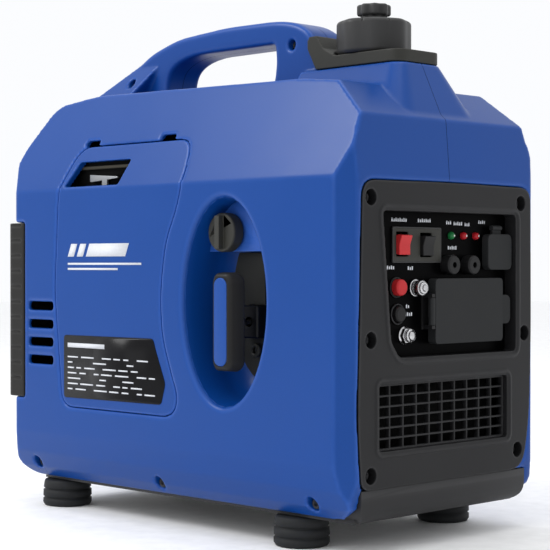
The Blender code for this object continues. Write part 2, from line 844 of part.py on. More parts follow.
def terminals():
    """The earth stud with its wing nut, and the small stud below it."""
    stud = [
        (0, 0.0112), (0.0022, 0.0112), (0.0022, 0.0022), (0.0062, 0.0022), (0.0062, GAP),
        (0.0030, GAP), (0.0030, -0.010), (0, -0.010),
    ]
    at = (PANEL_X, *GROUND_TERMINAL)
    name_piece("ground_terminal", turned(stud, "X", at, 16), STEEL, 0.3, 1.0)
    hub = turned(
        [(0.0025, 0.0090), (0.0048, 0.0080), (0.0055, 0.0028), (0.0025, 0.0028)], "X", at, 16
    )
    y, z = GROUND_TERMINAL
    ear = [
        (0.0035, 0.0035), (0.0060, 0.0070), (WING_SPAN, 0.0108), (WING_SPAN - 0.0020, 0.0108),
        (0.0035, 0.0070),
    ]
    outward = Matrix(((0, 1, 0, 0), (1, 0, 0, 0), (0, 0, -1, 0), (0, 0, 0, 1)))
    wings = []
    for sign in (-1, 1):
        wing = slab([(sign * across, out) for across, out in ear], "Z", -0.0008, 0.0008)
        wing.data.transform(Matrix.Translation((PANEL_X, y, z)) @ outward)
        wings.append(wing)
    name_piece("ground_nut", join(hub, *wings), STEEL, 0.3, 1.0, pivot=at)
    small = [
        (0, 0.0085), (0.0040, 0.0085), (0.0050, 0.0075), (0.0050, 0.0030), (0.0064, 0.0028),
        (0.0064, GAP), (0.0030, GAP), (0.0030, -0.010), (0, -0.010),
    ]
    at = (PANEL_X, *SERVICE_TERMINAL)
    name_piece("service_terminal", turned(small, "X", at, 16), STEEL, 0.3, 1.0)


def outlet():
    """The twin outlet, with two lugs beside it that carry the cover's hinge."""
    y, z = OUTLET
    face = PANEL_X + 0.0018
    body = block((PANEL_X - 0.028, face), (y - 0.033, y + 0.033), (z - 0.018, z + 0.018))
    slot_x = (PANEL_X - 0.012, PANEL_X + 0.01)
    slots = []
    for middle in (y - 0.0165, y + 0.0165):
        for level in (z - 0.006, z + 0.006):
            slots.append(
                block(slot_x, (middle - 0.0045, middle + 0.0035), (level - 0.001, level + 0.001))
            )
        slots.append(rod("X", (0, middle + 0.009, z), 0.0024, *slot_x, 10))
    cut(body, *slots)

    half_y, half_z = OUTLET_HALF
    back = PANEL_X + 0.0022
    front = back + COVER_T
    knuckle_r = 0.0022
    hinge_x = front - HINGE_OUT
    hinge_y = y - half_y - knuckle_r - 0.0006
    lug_half = knuckle_r - 0.0005
    lugs = [
        block(
            (face - 0.001, hinge_x + lug_half),
            (hinge_y - lug_half, hinge_y + lug_half),
            (z + min(sign * LUG[0], sign * LUG[1]), z + max(sign * LUG[0], sign * LUG[1])),
        )
        for sign in (-1, 1)
    ]
    margin = 0.0004
    foot = block(
        (PANEL_X + GAP, face - margin / 2),
        (hinge_y - knuckle_r - margin, y - 0.032),
        (z - LUG[1] - margin, z + LUG[1] + margin),
    )
    join(body, foot, *lugs)
    name_piece("outlet_body", body, BLACK, 0.4)

    cover = slab(
        rounded((y - half_y, y + half_y), (z - half_z, z + half_z), 0.003), "X", back, front
    )
    soften(cover, 0.0012, 2)
    tab = slab(
        rounded((y + half_y - 0.004, y + half_y + 0.0100), (z - 0.0105, z + 0.0105), 0.0045),
        "X", back + 0.002, front - 0.001,
    )
    tall = LUG[0] - GAP
    knuckle = rod("Z", (hinge_x, hinge_y, 0), knuckle_r, z - tall, z + tall, 12)
    strap = block(
        (hinge_x - 0.0014, hinge_x + 0.0010), (hinge_y, y - half_y + 0.002), (z - tall, z + tall)
    )
    join(cover, tab, knuckle, strap)
    name_piece("outlet_cover", cover, GREY, 0.5, pivot=(hinge_x, hinge_y, z))


def dc_outlet():
    """The small round socket and the flap that hangs over it from a strap."""
    y, z = DC_SOCKET
    slot_x = (PANEL_X - 0.012, PANEL_X + 0.01)
    socket = rod("X", (0, y, z), 0.0095, PANEL_X - 0.020, PANEL_X + 0.0018, 20)
    upright = block(slot_x, (y - 0.0045, y - 0.0030), (z - 0.004, z + 0.004))
    level = block(slot_x, (y + 0.0005, y + 0.0065), (z - 0.00075, z + 0.00075))
    name_piece("dc_socket", cut(socket, upright, level), BLACK, 0.4)
    half_y, half_z = DC_HALF
    back = PANEL_X + 0.0022
    front = back + COVER_T - 0.001
    cover = slab(
        rounded((y - half_y, y + half_y), (z - half_z, z + half_z), 0.004), "X", back, front
    )
    soften(cover, 0.0012, 2)
    hinge_z = z + half_z + 0.0045
    knuckle = rod("Y", (back + 0.0020, 0, hinge_z), 0.0020, y - 0.0055, y + 0.0055, 12)
    strap = block(
        (back + 0.0006, back + 0.0030), (y - 0.005, y + 0.005), (z + half_z - 0.002, hinge_z)
    )
    join(cover, knuckle, strap)
    name_piece("dc_cover", cover, GREY, 0.5, pivot=(back + 0.0020, y, hinge_z))


# --- Filler --------------------------------------------------------------------------------------


def filler():
    low = SURROUND_Z - 0.009
    rear = FILLER_X - 0.0445
    outline = [
        (rear, low),
        (FILLER_X + 0.0450, low),
        (FILLER_X + 0.0450, SURROUND_Z),
        (rear + 0.023, SURROUND_Z),
        (rear + 0.006, SURROUND_Z + 0.016),
        (rear, SURROUND_Z + 0.016),
    ]
    surround = soften(slab(outline, "Y", -SURROUND_HALF_W, SURROUND_HALF_W), 0.0015, 1)
    well = rod("Z", (FILLER_X, 0, 0), CAP_R + 0.0015, SURROUND_Z, SURROUND_Z + 0.03, 32)
    cut(surround, well, rod("Z", (FILLER_X, 0, 0), NECK_R + 0.001, low - 0.01, SURROUND_Z + 0.01))
    name_piece("filler_surround", surround, GREY, 0.55)

    at = (FILLER_X, 0, 0)
    gasket_z = SURROUND_Z + 0.0055
    cap = slab(lobed((FILLER_X, 0), CAP_R, 0.0014, 12), "Z", CAP_Z, CAP_TOP_Z - GAP)
    soften(cap, 0.0022, 1, 60)
    cut(cap, rod("Z", at, CAP_CAVITY_R, CAP_Z - 0.01, gasket_z + 0.0026, 32))
    name_piece("fuel_cap", cap, GREY, 0.5, pivot=(FILLER_X, 0, CAP_Z))
    ring = [
        (0.0135, gasket_z + 0.002), (CAP_CAVITY_R - 0.0006, gasket_z + 0.002),
        (CAP_CAVITY_R - 0.0006, gasket_z), (0.0135, gasket_z),
    ]
    name_piece("cap_gasket", turned(ring, "Z", at, 32), BLACK, 0.7, pivot=(FILLER_X, 0, gasket_z))
    knob = slab(lobed((FILLER_X, 0), KNOB_R, 0.0022, 6, 6), "Z", CAP_TOP_Z, HEIGHT)
    soften(knob, 0.0015, 1, 60)
    name_piece("vent_knob", knob, BLACK, 0.45, pivot=(FILLER_X, 0, CAP_TOP_Z))

    tank = slab(
        rounded((-0.020, FILLER_X + 0.030), (-TANK_HALF_W, TANK_HALF_W), 0.015), "Z", TANK_Z, TANK_TOP_Z
    )
    soften(tank, 0.006, 2)
    join(tank, rod("Z", at, NECK_R, TANK_TOP_Z - 0.005, gasket_z - GAP))
    cut(tank, rod("Z", at, NECK_BORE_R, TANK_TOP_Z - 0.025, gasket_z + 0.01))
    name_piece("fuel_tank", tank, BLACK, 0.6)


# --- Starter -------------------------------------------------------------------------------------


def valve_knob_place():
    across = BOWL_RX - VALVE_KNOB_R - VALVE_KNOB_CLEAR[0]
    up = BOWL_RZ - VALVE_KNOB_R - VALVE_KNOB_CLEAR[1]
    return (STARTER_X - across, STARTER_Z + up)


def starter_bowl():
    """An oval dish behind the opening in the shell, with holes for the rope guide and the valve stem."""
    count = 5
    rim = 0.0022
    power = 2 / BOWL_SQUARENESS
    angles = [math.radians(90 * i / count) for i in range(count + 1)]
    inner = [(math.sin(a) ** power, max(0, math.cos(a)) ** power) for a in angles]
    inner[-1] = (1, 0)
    thick = BOWL_T / BOWL_RX
    outer = [(r * (1 + thick), d * (1 + BOWL_T / BOWL_DEPTH)) for r, d in inner]
    flange = 1 + BOWL_FLANGE / BOWL_RZ
    lip = rim / BOWL_DEPTH
    profile = outer[:-1] + [(outer[-1][0], lip), (flange, lip), (flange, 0), (1, 0)]
    profile += list(reversed(inner[:-1]))
    bowl = turned(profile, "Z", (0, 0, 0), 32)
    seat = -HALF_W + WALL + GAP
    shape = Matrix(
        ((BOWL_RX, 0, 0, STARTER_X), (0, 0, BOWL_DEPTH, seat), (0, -BOWL_RZ, 0, STARTER_Z), (0, 0, 0, 1))
    )
    bowl.data.transform(shape)
    recalculate(bowl)
    x, z = valve_knob_place()
    cut(
        bowl,
        block((ROPE_X - 0.0095, ROPE_X + 0.0095), (-HALF_W, 0), (ROPE_Z - 0.0125, ROPE_Z + 0.0125)),
        rod("Y", (x, 0, z), 0.0050, -HALF_W, 0, 16),
    )
    name_piece("starter_bowl", bowl, BLUE, 0.4)


def recalculate(piece):
    bm = bmesh.new()
    bm.from_mesh(piece.data)
    bmesh.ops.recalc_face_normals(bm, faces=bm.faces)
    bm.to_mesh(piece.data)
    bm.free()


def starter():
    back = -HALF_W + WALL + BOWL_DEPTH
    x = (ROPE_X - 0.0090, ROPE_X + 0.0090)
    z = (ROPE_Z - 0.0120, ROPE_Z + 0.0120)
    guide = block(x, (back - 0.014, back + 0.006), z)
    soften(guide, 0.0012, 1)
    cut(guide, rod("Y", (ROPE_X, 0, ROPE_Z), ROPE_R + 0.0018, back - 0.03, back + 0.03, 12))
    name_piece("rope_guide", guide, BLACK, 0.5)

    face = -HALF_W + GRIP_INSET
    middle_z = ROPE_Z + 0.0005
    wide = (ROPE_X - GRIP_W / 2, ROPE_X + GRIP_W / 2)
    tall = (middle_z - GRIP_L / 2, middle_z + GRIP_L / 2)
    outline = rounded(wide, tall, 0.011, 4)
    grip = soften(slab(outline, "Y", face + 0.0018, face + GRIP_T), 0.003, 2)
    pocket = shrink(outline, 0.0045)
    cut(grip, slab(pocket, "Y", face, face + 0.0045))
    place = (ROPE_X, face + GRIP_T, ROPE_Z)
    name_piece("starter_grip", grip, BLACK, 0.55, pivot=place)
    insert = slab(shrink(outline, 0.0045 + GAP), "Y", face, face + 0.0045 - GAP)
    soften(insert, 0.0008, 1)
    name_piece("grip_insert", insert, BLUE, 0.4, pivot=place)
    rope = tube([(ROPE_X, face + GRIP_T + GAP, ROPE_Z), (ROPE_X, 0, ROPE_Z)], ROPE_R)
    name_piece("starter_rope", rope, (0.03, 0.03, 0.03), 0.9)

    x, z = valve_knob_place()
    seat = -HALF_W + 0.0095
    knob = rod("Y", (x, 0, z), VALVE_KNOB_R, seat, seat + 0.010, 24)
    soften(knob, 0.001, 1)
    ridge = block((x - 0.0025, x + 0.0025), (seat - 0.0045, seat + 0.002), (z - 0.0120, z + 0.0120))
    stem = rod("Y", (x, 0, z), 0.0040, seat + 0.008, back + 0.004, 16)
    join(knob, ridge, stem)
    name_piece("fuel_valve_knob", knob, BLACK, 0.5, pivot=(x, seat, z))
    valve = block((x - 0.010, x + 0.010), (back + 0.0045, back + 0.026), (z - 0.010, z + 0.010))
    spout = rod("Z", (x, back + 0.016, 0), 0.005, z - 0.022, TANK_Z - GAP, 12)
    name_piece("fuel_valve", join(soften(valve, 0.0015, 1), spout), ALLOY, 0.4, 0.8)


# --- Engine --------------------------------------------------------------------------------------

TAILPIPE = (0.048, 0.165)
TAILPIPE_R = 0.0105


def engine_block():
    shaft_bore = rod("X", (0, 0, CRANK_Z), SHAFT_R + 0.0004, -0.3, 0.3, 24)
    case = soften(block(CASE_X, (-CASE_HALF_W, CASE_HALF_W), CASE_Z), 0.008, 2)
    legs = [
        block((x, x + 0.014), (y, y + 0.014), (TRAY_TOP_Z + GAP, CASE_Z[0] + 0.02))
        for x in (CASE_X[0] + 0.004, CASE_X[1] - 0.018)
        for y in (-CASE_HALF_W + 0.004, CASE_HALF_W - 0.018)
    ]
    join(case, *legs)
    cut(case, shaft_bore)
    name_piece("crankcase", case, ALLOY, 0.5, 0.8)

    low = CASE_Z[1] + GAP
    pitch = CYLINDER_H / FIN_COUNT
    profile = [(0, low + CYLINDER_H)]
    for i in reversed(range(FIN_COUNT)):
        top = low + pitch * (i + 1)
        profile += [(FIN_R, top), (FIN_R, top - pitch * 0.35), (CYLINDER_R, top - pitch * 0.35)]
        profile += [(CYLINDER_R, top - pitch)] if i else [(CYLINDER_R, low)]
    profile.append((0, low))
    cylinder = turned(profile, "Z", (CYLINDER_X, 0, 0), 20)
    name_piece("cylinder", cylinder, ALLOY, 0.5, 0.8)

    low += CYLINDER_H + GAP
    half = 0.035
    side = half - 0.001
    head = block((CYLINDER_X - half, CYLINDER_X + half), (-side, side), (low, low + HEAD_H))
    grooves = [
        block((CYLINDER_X - 0.1, CYLINDER_X - half + 0.008), (-0.1, 0.1), (low + z, low + z + 0.003))
        for z in (0.004, 0.011)
    ]
    plug_x = CYLINDER_X + 0.018
    plug_z = low + HEAD_H / 2
    cut(head, *grooves)
    name_piece("cylinder_head", head, ALLOY, 0.5, 0.8)
    face = -side - GAP
    plug = turned(
        [
            (0, 0.024), (0.0035, 0.024), (0.0035, 0.012), (0.0080, 0.011), (0.0080, 0.003),
            (0.0062, 0), (0, 0),
        ],
        "Y", (plug_x, face, plug_z), 16,
    )
    name_piece("spark_plug", plug, (0.8, 0.8, 0.78), 0.3)
    cap = rod("Y", (plug_x, 0, plug_z), 0.0085, face - 0.042, face - 0.0125, 16)
    elbow = rod("Z", (plug_x, face - 0.0345, 0), 0.0060, plug_z, plug_z + 0.024, 12)
    join(cap, elbow)
    cut(cap, rod("Y", (plug_x, 0, plug_z), 0.0040, face - 0.026, face, 12))
    name_piece("spark_plug_cap", cap, BLACK, 0.6)
    low += HEAD_H + GAP
    cover = slab(
        rounded((CYLINDER_X - 0.030, CYLINDER_X + 0.030), (-0.028, 0.028), 0.008), "Z", low, low + 0.014
    )
    name_piece("valve_cover", soften(cover, 0.003, 2), ALLOY, 0.4, 0.8)

    oil_x, oil_z = CASE_X[1] - 0.018, CASE_Z[0] + 0.016
    oil = slab(lobed((oil_x, oil_z), 0.013, 0.002, 6), "Y", -CASE_HALF_W - 0.016, -CASE_HALF_W - GAP)
    name_piece("oil_cap", oil, (0.5, 0.35, 0.02), 0.5, pivot=(oil_x, -CASE_HALF_W, oil_z))


def rotating_parts():
    at = (0, 0, CRANK_Z)
    shaft = rod("X", at, SHAFT_R, CASE_X[0] - 0.012, 0.049, 24)
    name_piece("crankshaft", shaft, STEEL, 0.3, 1.0, pivot=(0.02, 0, CRANK_Z))
    bore = SHAFT_R + GAP
    start = CASE_X[1]
    stator = turned(
        [
            (0.0125, start + 0.022), (STATOR_R, start + 0.022), (STATOR_R, start + GAP),
            (0.0125, start + GAP),
        ],
        "X", at, 24,
    )
    name_piece("stator", stator, (0.35, 0.16, 0.05), 0.5, 0.6)
    web = start + 0.025
    wheel = turned(
        [
            (bore, web + 0.022), (0.018, web + 0.022), (0.018, web + 0.006), (FLYWHEEL_R, web + 0.006),
            (FLYWHEEL_R, start + 0.003), (STATOR_R + 0.0015, start + 0.003), (STATOR_R + 0.0015, web),
            (bore, web),
        ],
        "X", at, 24,
    )
    blades = []
    for i in range(FAN_BLADES):
        blade = block((web + 0.004, web + 0.020), (-0.0012, 0.0012), (0.030, FAN_R))
        turn = Matrix.Rotation(2 * math.pi * i / FAN_BLADES, 4, "X")
        blade.data.transform(Matrix.Translation(at) @ turn)
        blades.append(blade)
    join(wheel, *blades)
    name_piece("flywheel_fan", wheel, ALLOY, 0.5, 0.7, pivot=(0.02, 0, CRANK_Z))

    half = PULLEY_T / 2
    profile = [
        (0.0060, half), (PULLEY_R, half), (PULLEY_R, ROPE_R + 0.0015), (GROOVE_R, ROPE_R + 0.0005),
        (GROOVE_R, -ROPE_R - 0.0005), (PULLEY_R, -ROPE_R - 0.0015), (PULLEY_R, -half), (0.0060, -half),
    ]
    pulley = turned(profile, "X", (ROPE_X, 0, CRANK_Z), 28)
    name_piece("recoil_pulley", pulley, BLACK, 0.5, pivot=(ROPE_X, 0, CRANK_Z))

    rim = PULLEY_R + 0.004
    back = ROPE_X + half + 0.002
    front = ROPE_X - half - 0.003
    housing = turned(
        [
            (0, back + 0.003), (rim + 0.002, back + 0.003), (rim + 0.002, front), (rim, front),
            (rim, back), (0.0055, back), (0.0055, front + 0.001), (0, front + 0.001),
        ],
        "X", at, 24,
    )
    leg = block(
        (back - 0.004, back + 0.003), (-0.020, 0.020), (TRAY_TOP_Z + GAP, CRANK_Z - rim + 0.002)
    )
    join(housing, leg)
    rope_exit = block(
        (ROPE_X - ROPE_R - 0.0015, ROPE_X + ROPE_R + 0.0015), (-rim - 0.01, 0.001),
        (ROPE_Z - ROPE_R - 0.0012, ROPE_Z + ROPE_R + 0.0015),
    )
    cut(housing, rope_exit)
    name_piece("recoil_housing", housing, ALLOY, 0.5, 0.6)


def breathing():
    """Carburettor, air filter, choke, muffler and its pipe."""
    x = CYLINDER_X - 0.017
    z = CASE_Z[1] + 0.025
    intake_y = -0.073
    half = 0.013
    carb = block(
        (x - half, x + half), (intake_y, -FIN_R - GAP - 0.0005), (z - half, z + half)
    )
    soften(carb, 0.002, 1)
    bowl = rod("Z", (x, -0.056, 0), 0.012, z - 0.030, z - 0.010, 16)
    name_piece("carburettor", join(carb, bowl), ALLOY, 0.35, 0.9)
    low_y = -HALF_W + 0.0065
    box_x, box_z = (x - 0.040, x + 0.024), (z - 0.034, z + 0.030)
    box = soften(block(box_x, (low_y, intake_y - GAP), box_z), 0.003, 1)
    wall = 0.002
    inside_x = (box_x[0] + wall, box_x[1] - wall)
    inside_z = (box_z[0] + wall, box_z[1] - wall)
    floor = intake_y - GAP - wall
    cut(
        box,
        block(inside_x, (low_y - 0.01, floor), inside_z),
        rod("Y", (x, 0, z), 0.008, floor - 0.01, floor + 0.01, 16),
    )
    name_piece("air_filter_box", box, BLACK, 0.6)
    element = block(
        (inside_x[0] + GAP, inside_x[1] - GAP),
        (low_y + 0.001, floor - 0.004),
        (inside_z[0] + GAP, inside_z[1] - GAP),
    )
    name_piece("air_filter_element", element, (0.05, 0.05, 0.045), 0.95)

    window_z = CREASE_Z + 0.009
    plate_y = (-HALF_W + 0.0130, -HALF_W + 0.0150)
    lever = block((-0.096, -0.062), plate_y, (window_z - 0.003, window_z + 0.003))
    arm = block((-0.070, -0.062), plate_y, (box_z[1] + GAP, window_z + 0.003))
    name_piece("choke_lever", join(lever, arm), STEEL, 0.35, 0.9, pivot=(-0.066, plate_y[0], window_z))

    rear = REAR_X + WALL + 0.010
    front = CASE_X[0] - 0.019
    sides = (-0.030, 0.075)
    low, high = 0.100, 0.195
    edge = 0.016
    muffler = soften(block((rear, front), sides, (low, high)), edge, 3)
    tail = rod("X", (0, *TAILPIPE), TAILPIPE_R, -HALF_L + 0.003, rear + 0.004, 20)
    middle = (rear + front) / 2
    bracket = block((middle - 0.008, middle + 0.008), (0.010, 0.030), (TRAY_TOP_Z + GAP, low + 0.005))
    join(muffler, tail, bracket)
    cut(muffler, rod("X", (0, *TAILPIPE), TAILPIPE_R - 0.0015, -HALF_L - 0.01, rear - 0.001, 20))
    name_piece("muffler", muffler, STEEL, 0.55, 0.9)
    pipe_r = 0.0075
    pipe_y = 0.015
    port_z = CASE_Z[1] + CYLINDER_H + HEAD_H / 2 + 2 * GAP
    start = CYLINDER_X - 0.035 - GAP
    drop = front - edge - pipe_r - 0.002
    bend = [(drop + 0.010, port_z), (drop + 0.003, port_z - 0.003), (drop, port_z - 0.010)]
    path = [(start, pipe_y, port_z)] + [(x, pipe_y, z) for x, z in bend]
    path.append((drop, pipe_y, high + GAP))
    name_piece("exhaust_pipe", tube(path, pipe_r), STEEL, 0.5, 0.9)


def inverter_module():
    """A finned alloy case that stands on the tray behind the front grille."""
    front = PANEL_X - PANEL_T - 0.012
    back = front - 0.038
    half = 0.065
    fins = 13
    pitch = 2 * half / fins
    root = front - 0.012
    fin = pitch * 0.4
    outline = [(back, -half), (front, -half)]
    for i in range(fins - 1):
        y = -half + pitch * i
        outline += [(front, y + fin), (root, y + fin), (root, y + pitch), (front, y + pitch)]
    outline += [(front, half), (back, half)]
    name_piece(
        "inverter_module", slab(outline, "Z", TRAY_TOP_Z + GAP, GRILLE_Z[1] + 0.006), ALLOY, 0.5, 0.7
    )


clear_scene()
shell_halves()
maintenance_door()
rear_louvre()
bottom_tray()
feet()
front_bezel()
front_grille()
control_panel()
switch_plate()
rocker("engine_switch", ENGINE_SWITCH, 9, (0.6, 0.03, 0.02))
rocker("eco_switch", ECO_SWITCH, 9, BLACK)
lamps_and_buttons()
terminals()
outlet()
dc_outlet()
filler()
starter_bowl()
starter()
engine_block()
rotating_parts()
breathing()
inverter_module()
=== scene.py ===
"""The looks of the inverter generator: finer shells, controls and fittings round the fixed CAD frame.

Everything is in metres in the CAD frame: +X is the control panel end, -Y the starter's side, +Z up.
"""

import json
import math

import bmesh
import bpy
import numpy as np
from mathutils import Matrix, Vector


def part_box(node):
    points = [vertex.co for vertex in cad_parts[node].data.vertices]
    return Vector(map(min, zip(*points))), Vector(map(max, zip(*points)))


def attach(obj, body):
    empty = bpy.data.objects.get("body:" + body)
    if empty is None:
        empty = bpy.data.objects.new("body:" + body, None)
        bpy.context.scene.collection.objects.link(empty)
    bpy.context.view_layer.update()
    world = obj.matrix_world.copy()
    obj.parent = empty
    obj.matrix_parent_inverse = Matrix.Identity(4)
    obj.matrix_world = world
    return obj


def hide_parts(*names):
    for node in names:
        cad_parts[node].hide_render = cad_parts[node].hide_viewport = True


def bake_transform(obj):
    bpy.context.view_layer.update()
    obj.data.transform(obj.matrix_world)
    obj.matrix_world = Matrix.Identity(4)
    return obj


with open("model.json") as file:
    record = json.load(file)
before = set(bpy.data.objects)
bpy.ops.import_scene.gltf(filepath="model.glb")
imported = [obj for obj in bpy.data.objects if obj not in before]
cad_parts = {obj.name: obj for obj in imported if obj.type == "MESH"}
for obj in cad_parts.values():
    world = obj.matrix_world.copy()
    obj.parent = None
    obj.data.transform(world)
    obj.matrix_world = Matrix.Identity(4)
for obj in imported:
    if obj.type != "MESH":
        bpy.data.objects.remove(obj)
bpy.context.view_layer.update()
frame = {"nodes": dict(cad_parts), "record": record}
NODES = frame["nodes"]
BODY_OF = {node: body for body, nodes in frame["record"]["behaviour"]["bodies"].items() for node in nodes}
SLOT_OF = {part["node"]: part["material_slot"] for part in frame["record"]["subparts"]}


def middle(node):
    low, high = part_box(node)
    return (low + high) / 2


# --- Camera, light and floor ---

EYE = Vector((0.9064, -0.8810, 0.1972))
LOOK = Vector((-0.7107, 0.7036, -0.0069))
LENS_MM = 104.7
SENSOR_MM = 36.0
FLOOR_REACH = 6.0


def camera():
    data = bpy.data.cameras.new("camera")
    data.lens = LENS_MM
    data.sensor_width = SENSOR_MM
    made = bpy.data.objects.new("camera", data)
    made.location = EYE
    made.rotation_euler = LOOK.to_track_quat("-Z", "Y").to_euler()
    bpy.context.scene.collection.objects.link(made)
    bpy.context.scene.camera = made


def area_light(name, place, target, size, power):
    data = bpy.data.lights.new(name, "AREA")
    data.shape = "RECTANGLE"
    data.size, data.size_y = size
    data.energy = power
    made = bpy.data.objects.new(name, data)
    made.location = place
    made.rotation_euler = (Vector(target) - Vector(place)).to_track_quat("-Z", "Y").to_euler()
    bpy.context.scene.collection.objects.link(made)


def studio():
    scene = bpy.context.scene
    scene.view_settings.view_transform = "Standard"
    world = bpy.data.worlds.new("studio")
    world.use_nodes = True
    sky = world.node_tree.nodes["Background"]
    sky.inputs["Color"].default_value = (0.97, 0.98, 1.0, 1)
    sky.inputs["Strength"].default_value = 1.0
    scene.world = world
    area_light("key", (-0.85, -1.15, 1.45), (0.1, 0, 0.25), (0.8, 0.6), 16.5)
    area_light("side", (0.1, -1.9, 0.7), (0, 0, 0.2), (1.2, 0.9), 3)
    area_light("top", (0.2, 0.1, 1.7), (0, 0, 0.3), (1.0, 1.0), 6)
    bm = bmesh.new()
    bmesh.ops.create_grid(bm, x_segments=8, y_segments=8, size=FLOOR_REACH)
    mesh = bpy.data.meshes.new("floor")
    bm.to_mesh(mesh)
    bm.free()
    floor = bpy.data.objects.new("floor", mesh)
    scene.collection.objects.link(floor)
    floor.data.materials.append(grained("floor", (0.97, 0.97, 0.97), 0.75, 60, 0.0002, 0.03, 0.0))


# --- Materials ---


GLEAM = 0.22


def feed(tree, socket, value):
    """Links a socket into another one, or sets it to a plain value."""
    if isinstance(value, bpy.types.NodeSocket):
        tree.links.new(value, socket)
    else:
        socket.default_value = value


def linked(tree, kind, **values):
    """A new node with its inputs set by name."""
    node = tree.nodes.new(kind)
    for name, value in values.items():
        feed(tree, node.inputs[name.replace("_", " ")], value)
    return node


def mixed(tree, kind, factor, first, second):
    """The colour that a mix of two colours gives."""
    node = tree.nodes.new("ShaderNodeMix")
    node.data_type = "RGBA"
    node.blend_type = kind
    for name, value in (("Factor", factor), ("A", first), ("B", second)):
        feed(tree, node.inputs[name], value)
    return node.outputs["Result"]


def ranged(tree, value, given, wanted):
    """A value moved from one range to another."""
    node = linked(
        tree, "ShaderNodeMapRange", Value=value,
        From_Min=given[0], From_Max=given[1], To_Min=wanted[0], To_Max=wanted[1],
    )
    return node.outputs["Result"]


def shade(colour, factor):
    return (*[min(1, max(0, c * factor)) for c in colour], 1)


def grained(name, colour, roughness, grain, depth, vary, edge_highlight, metallic=0.0, gleam=GLEAM):
    """A moulded or cast surface: slow colour drift, fine grain in relief, uneven gloss and a painted
    highlight that lightens its sharp edges.
    """
    paint = bpy.data.materials.new(name)
    paint.use_nodes = True
    tree = paint.node_tree
    shader = tree.nodes["Principled BSDF"]
    place = tree.nodes.new("ShaderNodeTexCoord").outputs["Object"]
    noise = "ShaderNodeTexNoise"
    slow = linked(tree, noise, Vector=place, Scale=9.0, Detail=4.0, Roughness=0.6).outputs["Fac"]
    fine = linked(tree, noise, Vector=place, Scale=float(grain), Detail=2.0, Roughness=0.55).outputs["Fac"]
    usual = (0.3, 0.7)  # where most of a noise texture's values lie
    drift = mixed(tree, "MIX", slow, shade(colour, 1 - vary), shade(colour, 1 + vary))
    result = mixed(tree, "MULTIPLY", 0.25, drift, ranged(tree, fine, usual, (0.8, 1.1)))
    # Painted highlight: sharp edges, found by pointiness, are mixed towards a paler copy of the colour to
    # stand in for the light they catch.
    if edge_highlight:
        point = tree.nodes.new("ShaderNodeNewGeometry").outputs["Pointiness"]
        highlight_mask = ranged(tree, point, (0.505, 0.56), (0.0, edge_highlight))
        result = mixed(tree, "MIX", highlight_mask, result, (*[min(1, c * 1.9 + 0.04) for c in colour], 1))
    gloss = ranged(tree, slow, usual, (max(0.02, roughness - 0.05), roughness + 0.05))
    relief = linked(tree, "ShaderNodeBump", Height=fine, Strength=0.6, Distance=depth)
    tree.links.new(result, shader.inputs["Base Color"])
    tree.links.new(gloss, shader.inputs["Roughness"])
    tree.links.new(relief.outputs["Normal"], shader.inputs["Normal"])
    shader.inputs["Metallic"].default_value = metallic
    shader.inputs["Specular IOR Level"].default_value = gleam
    return paint


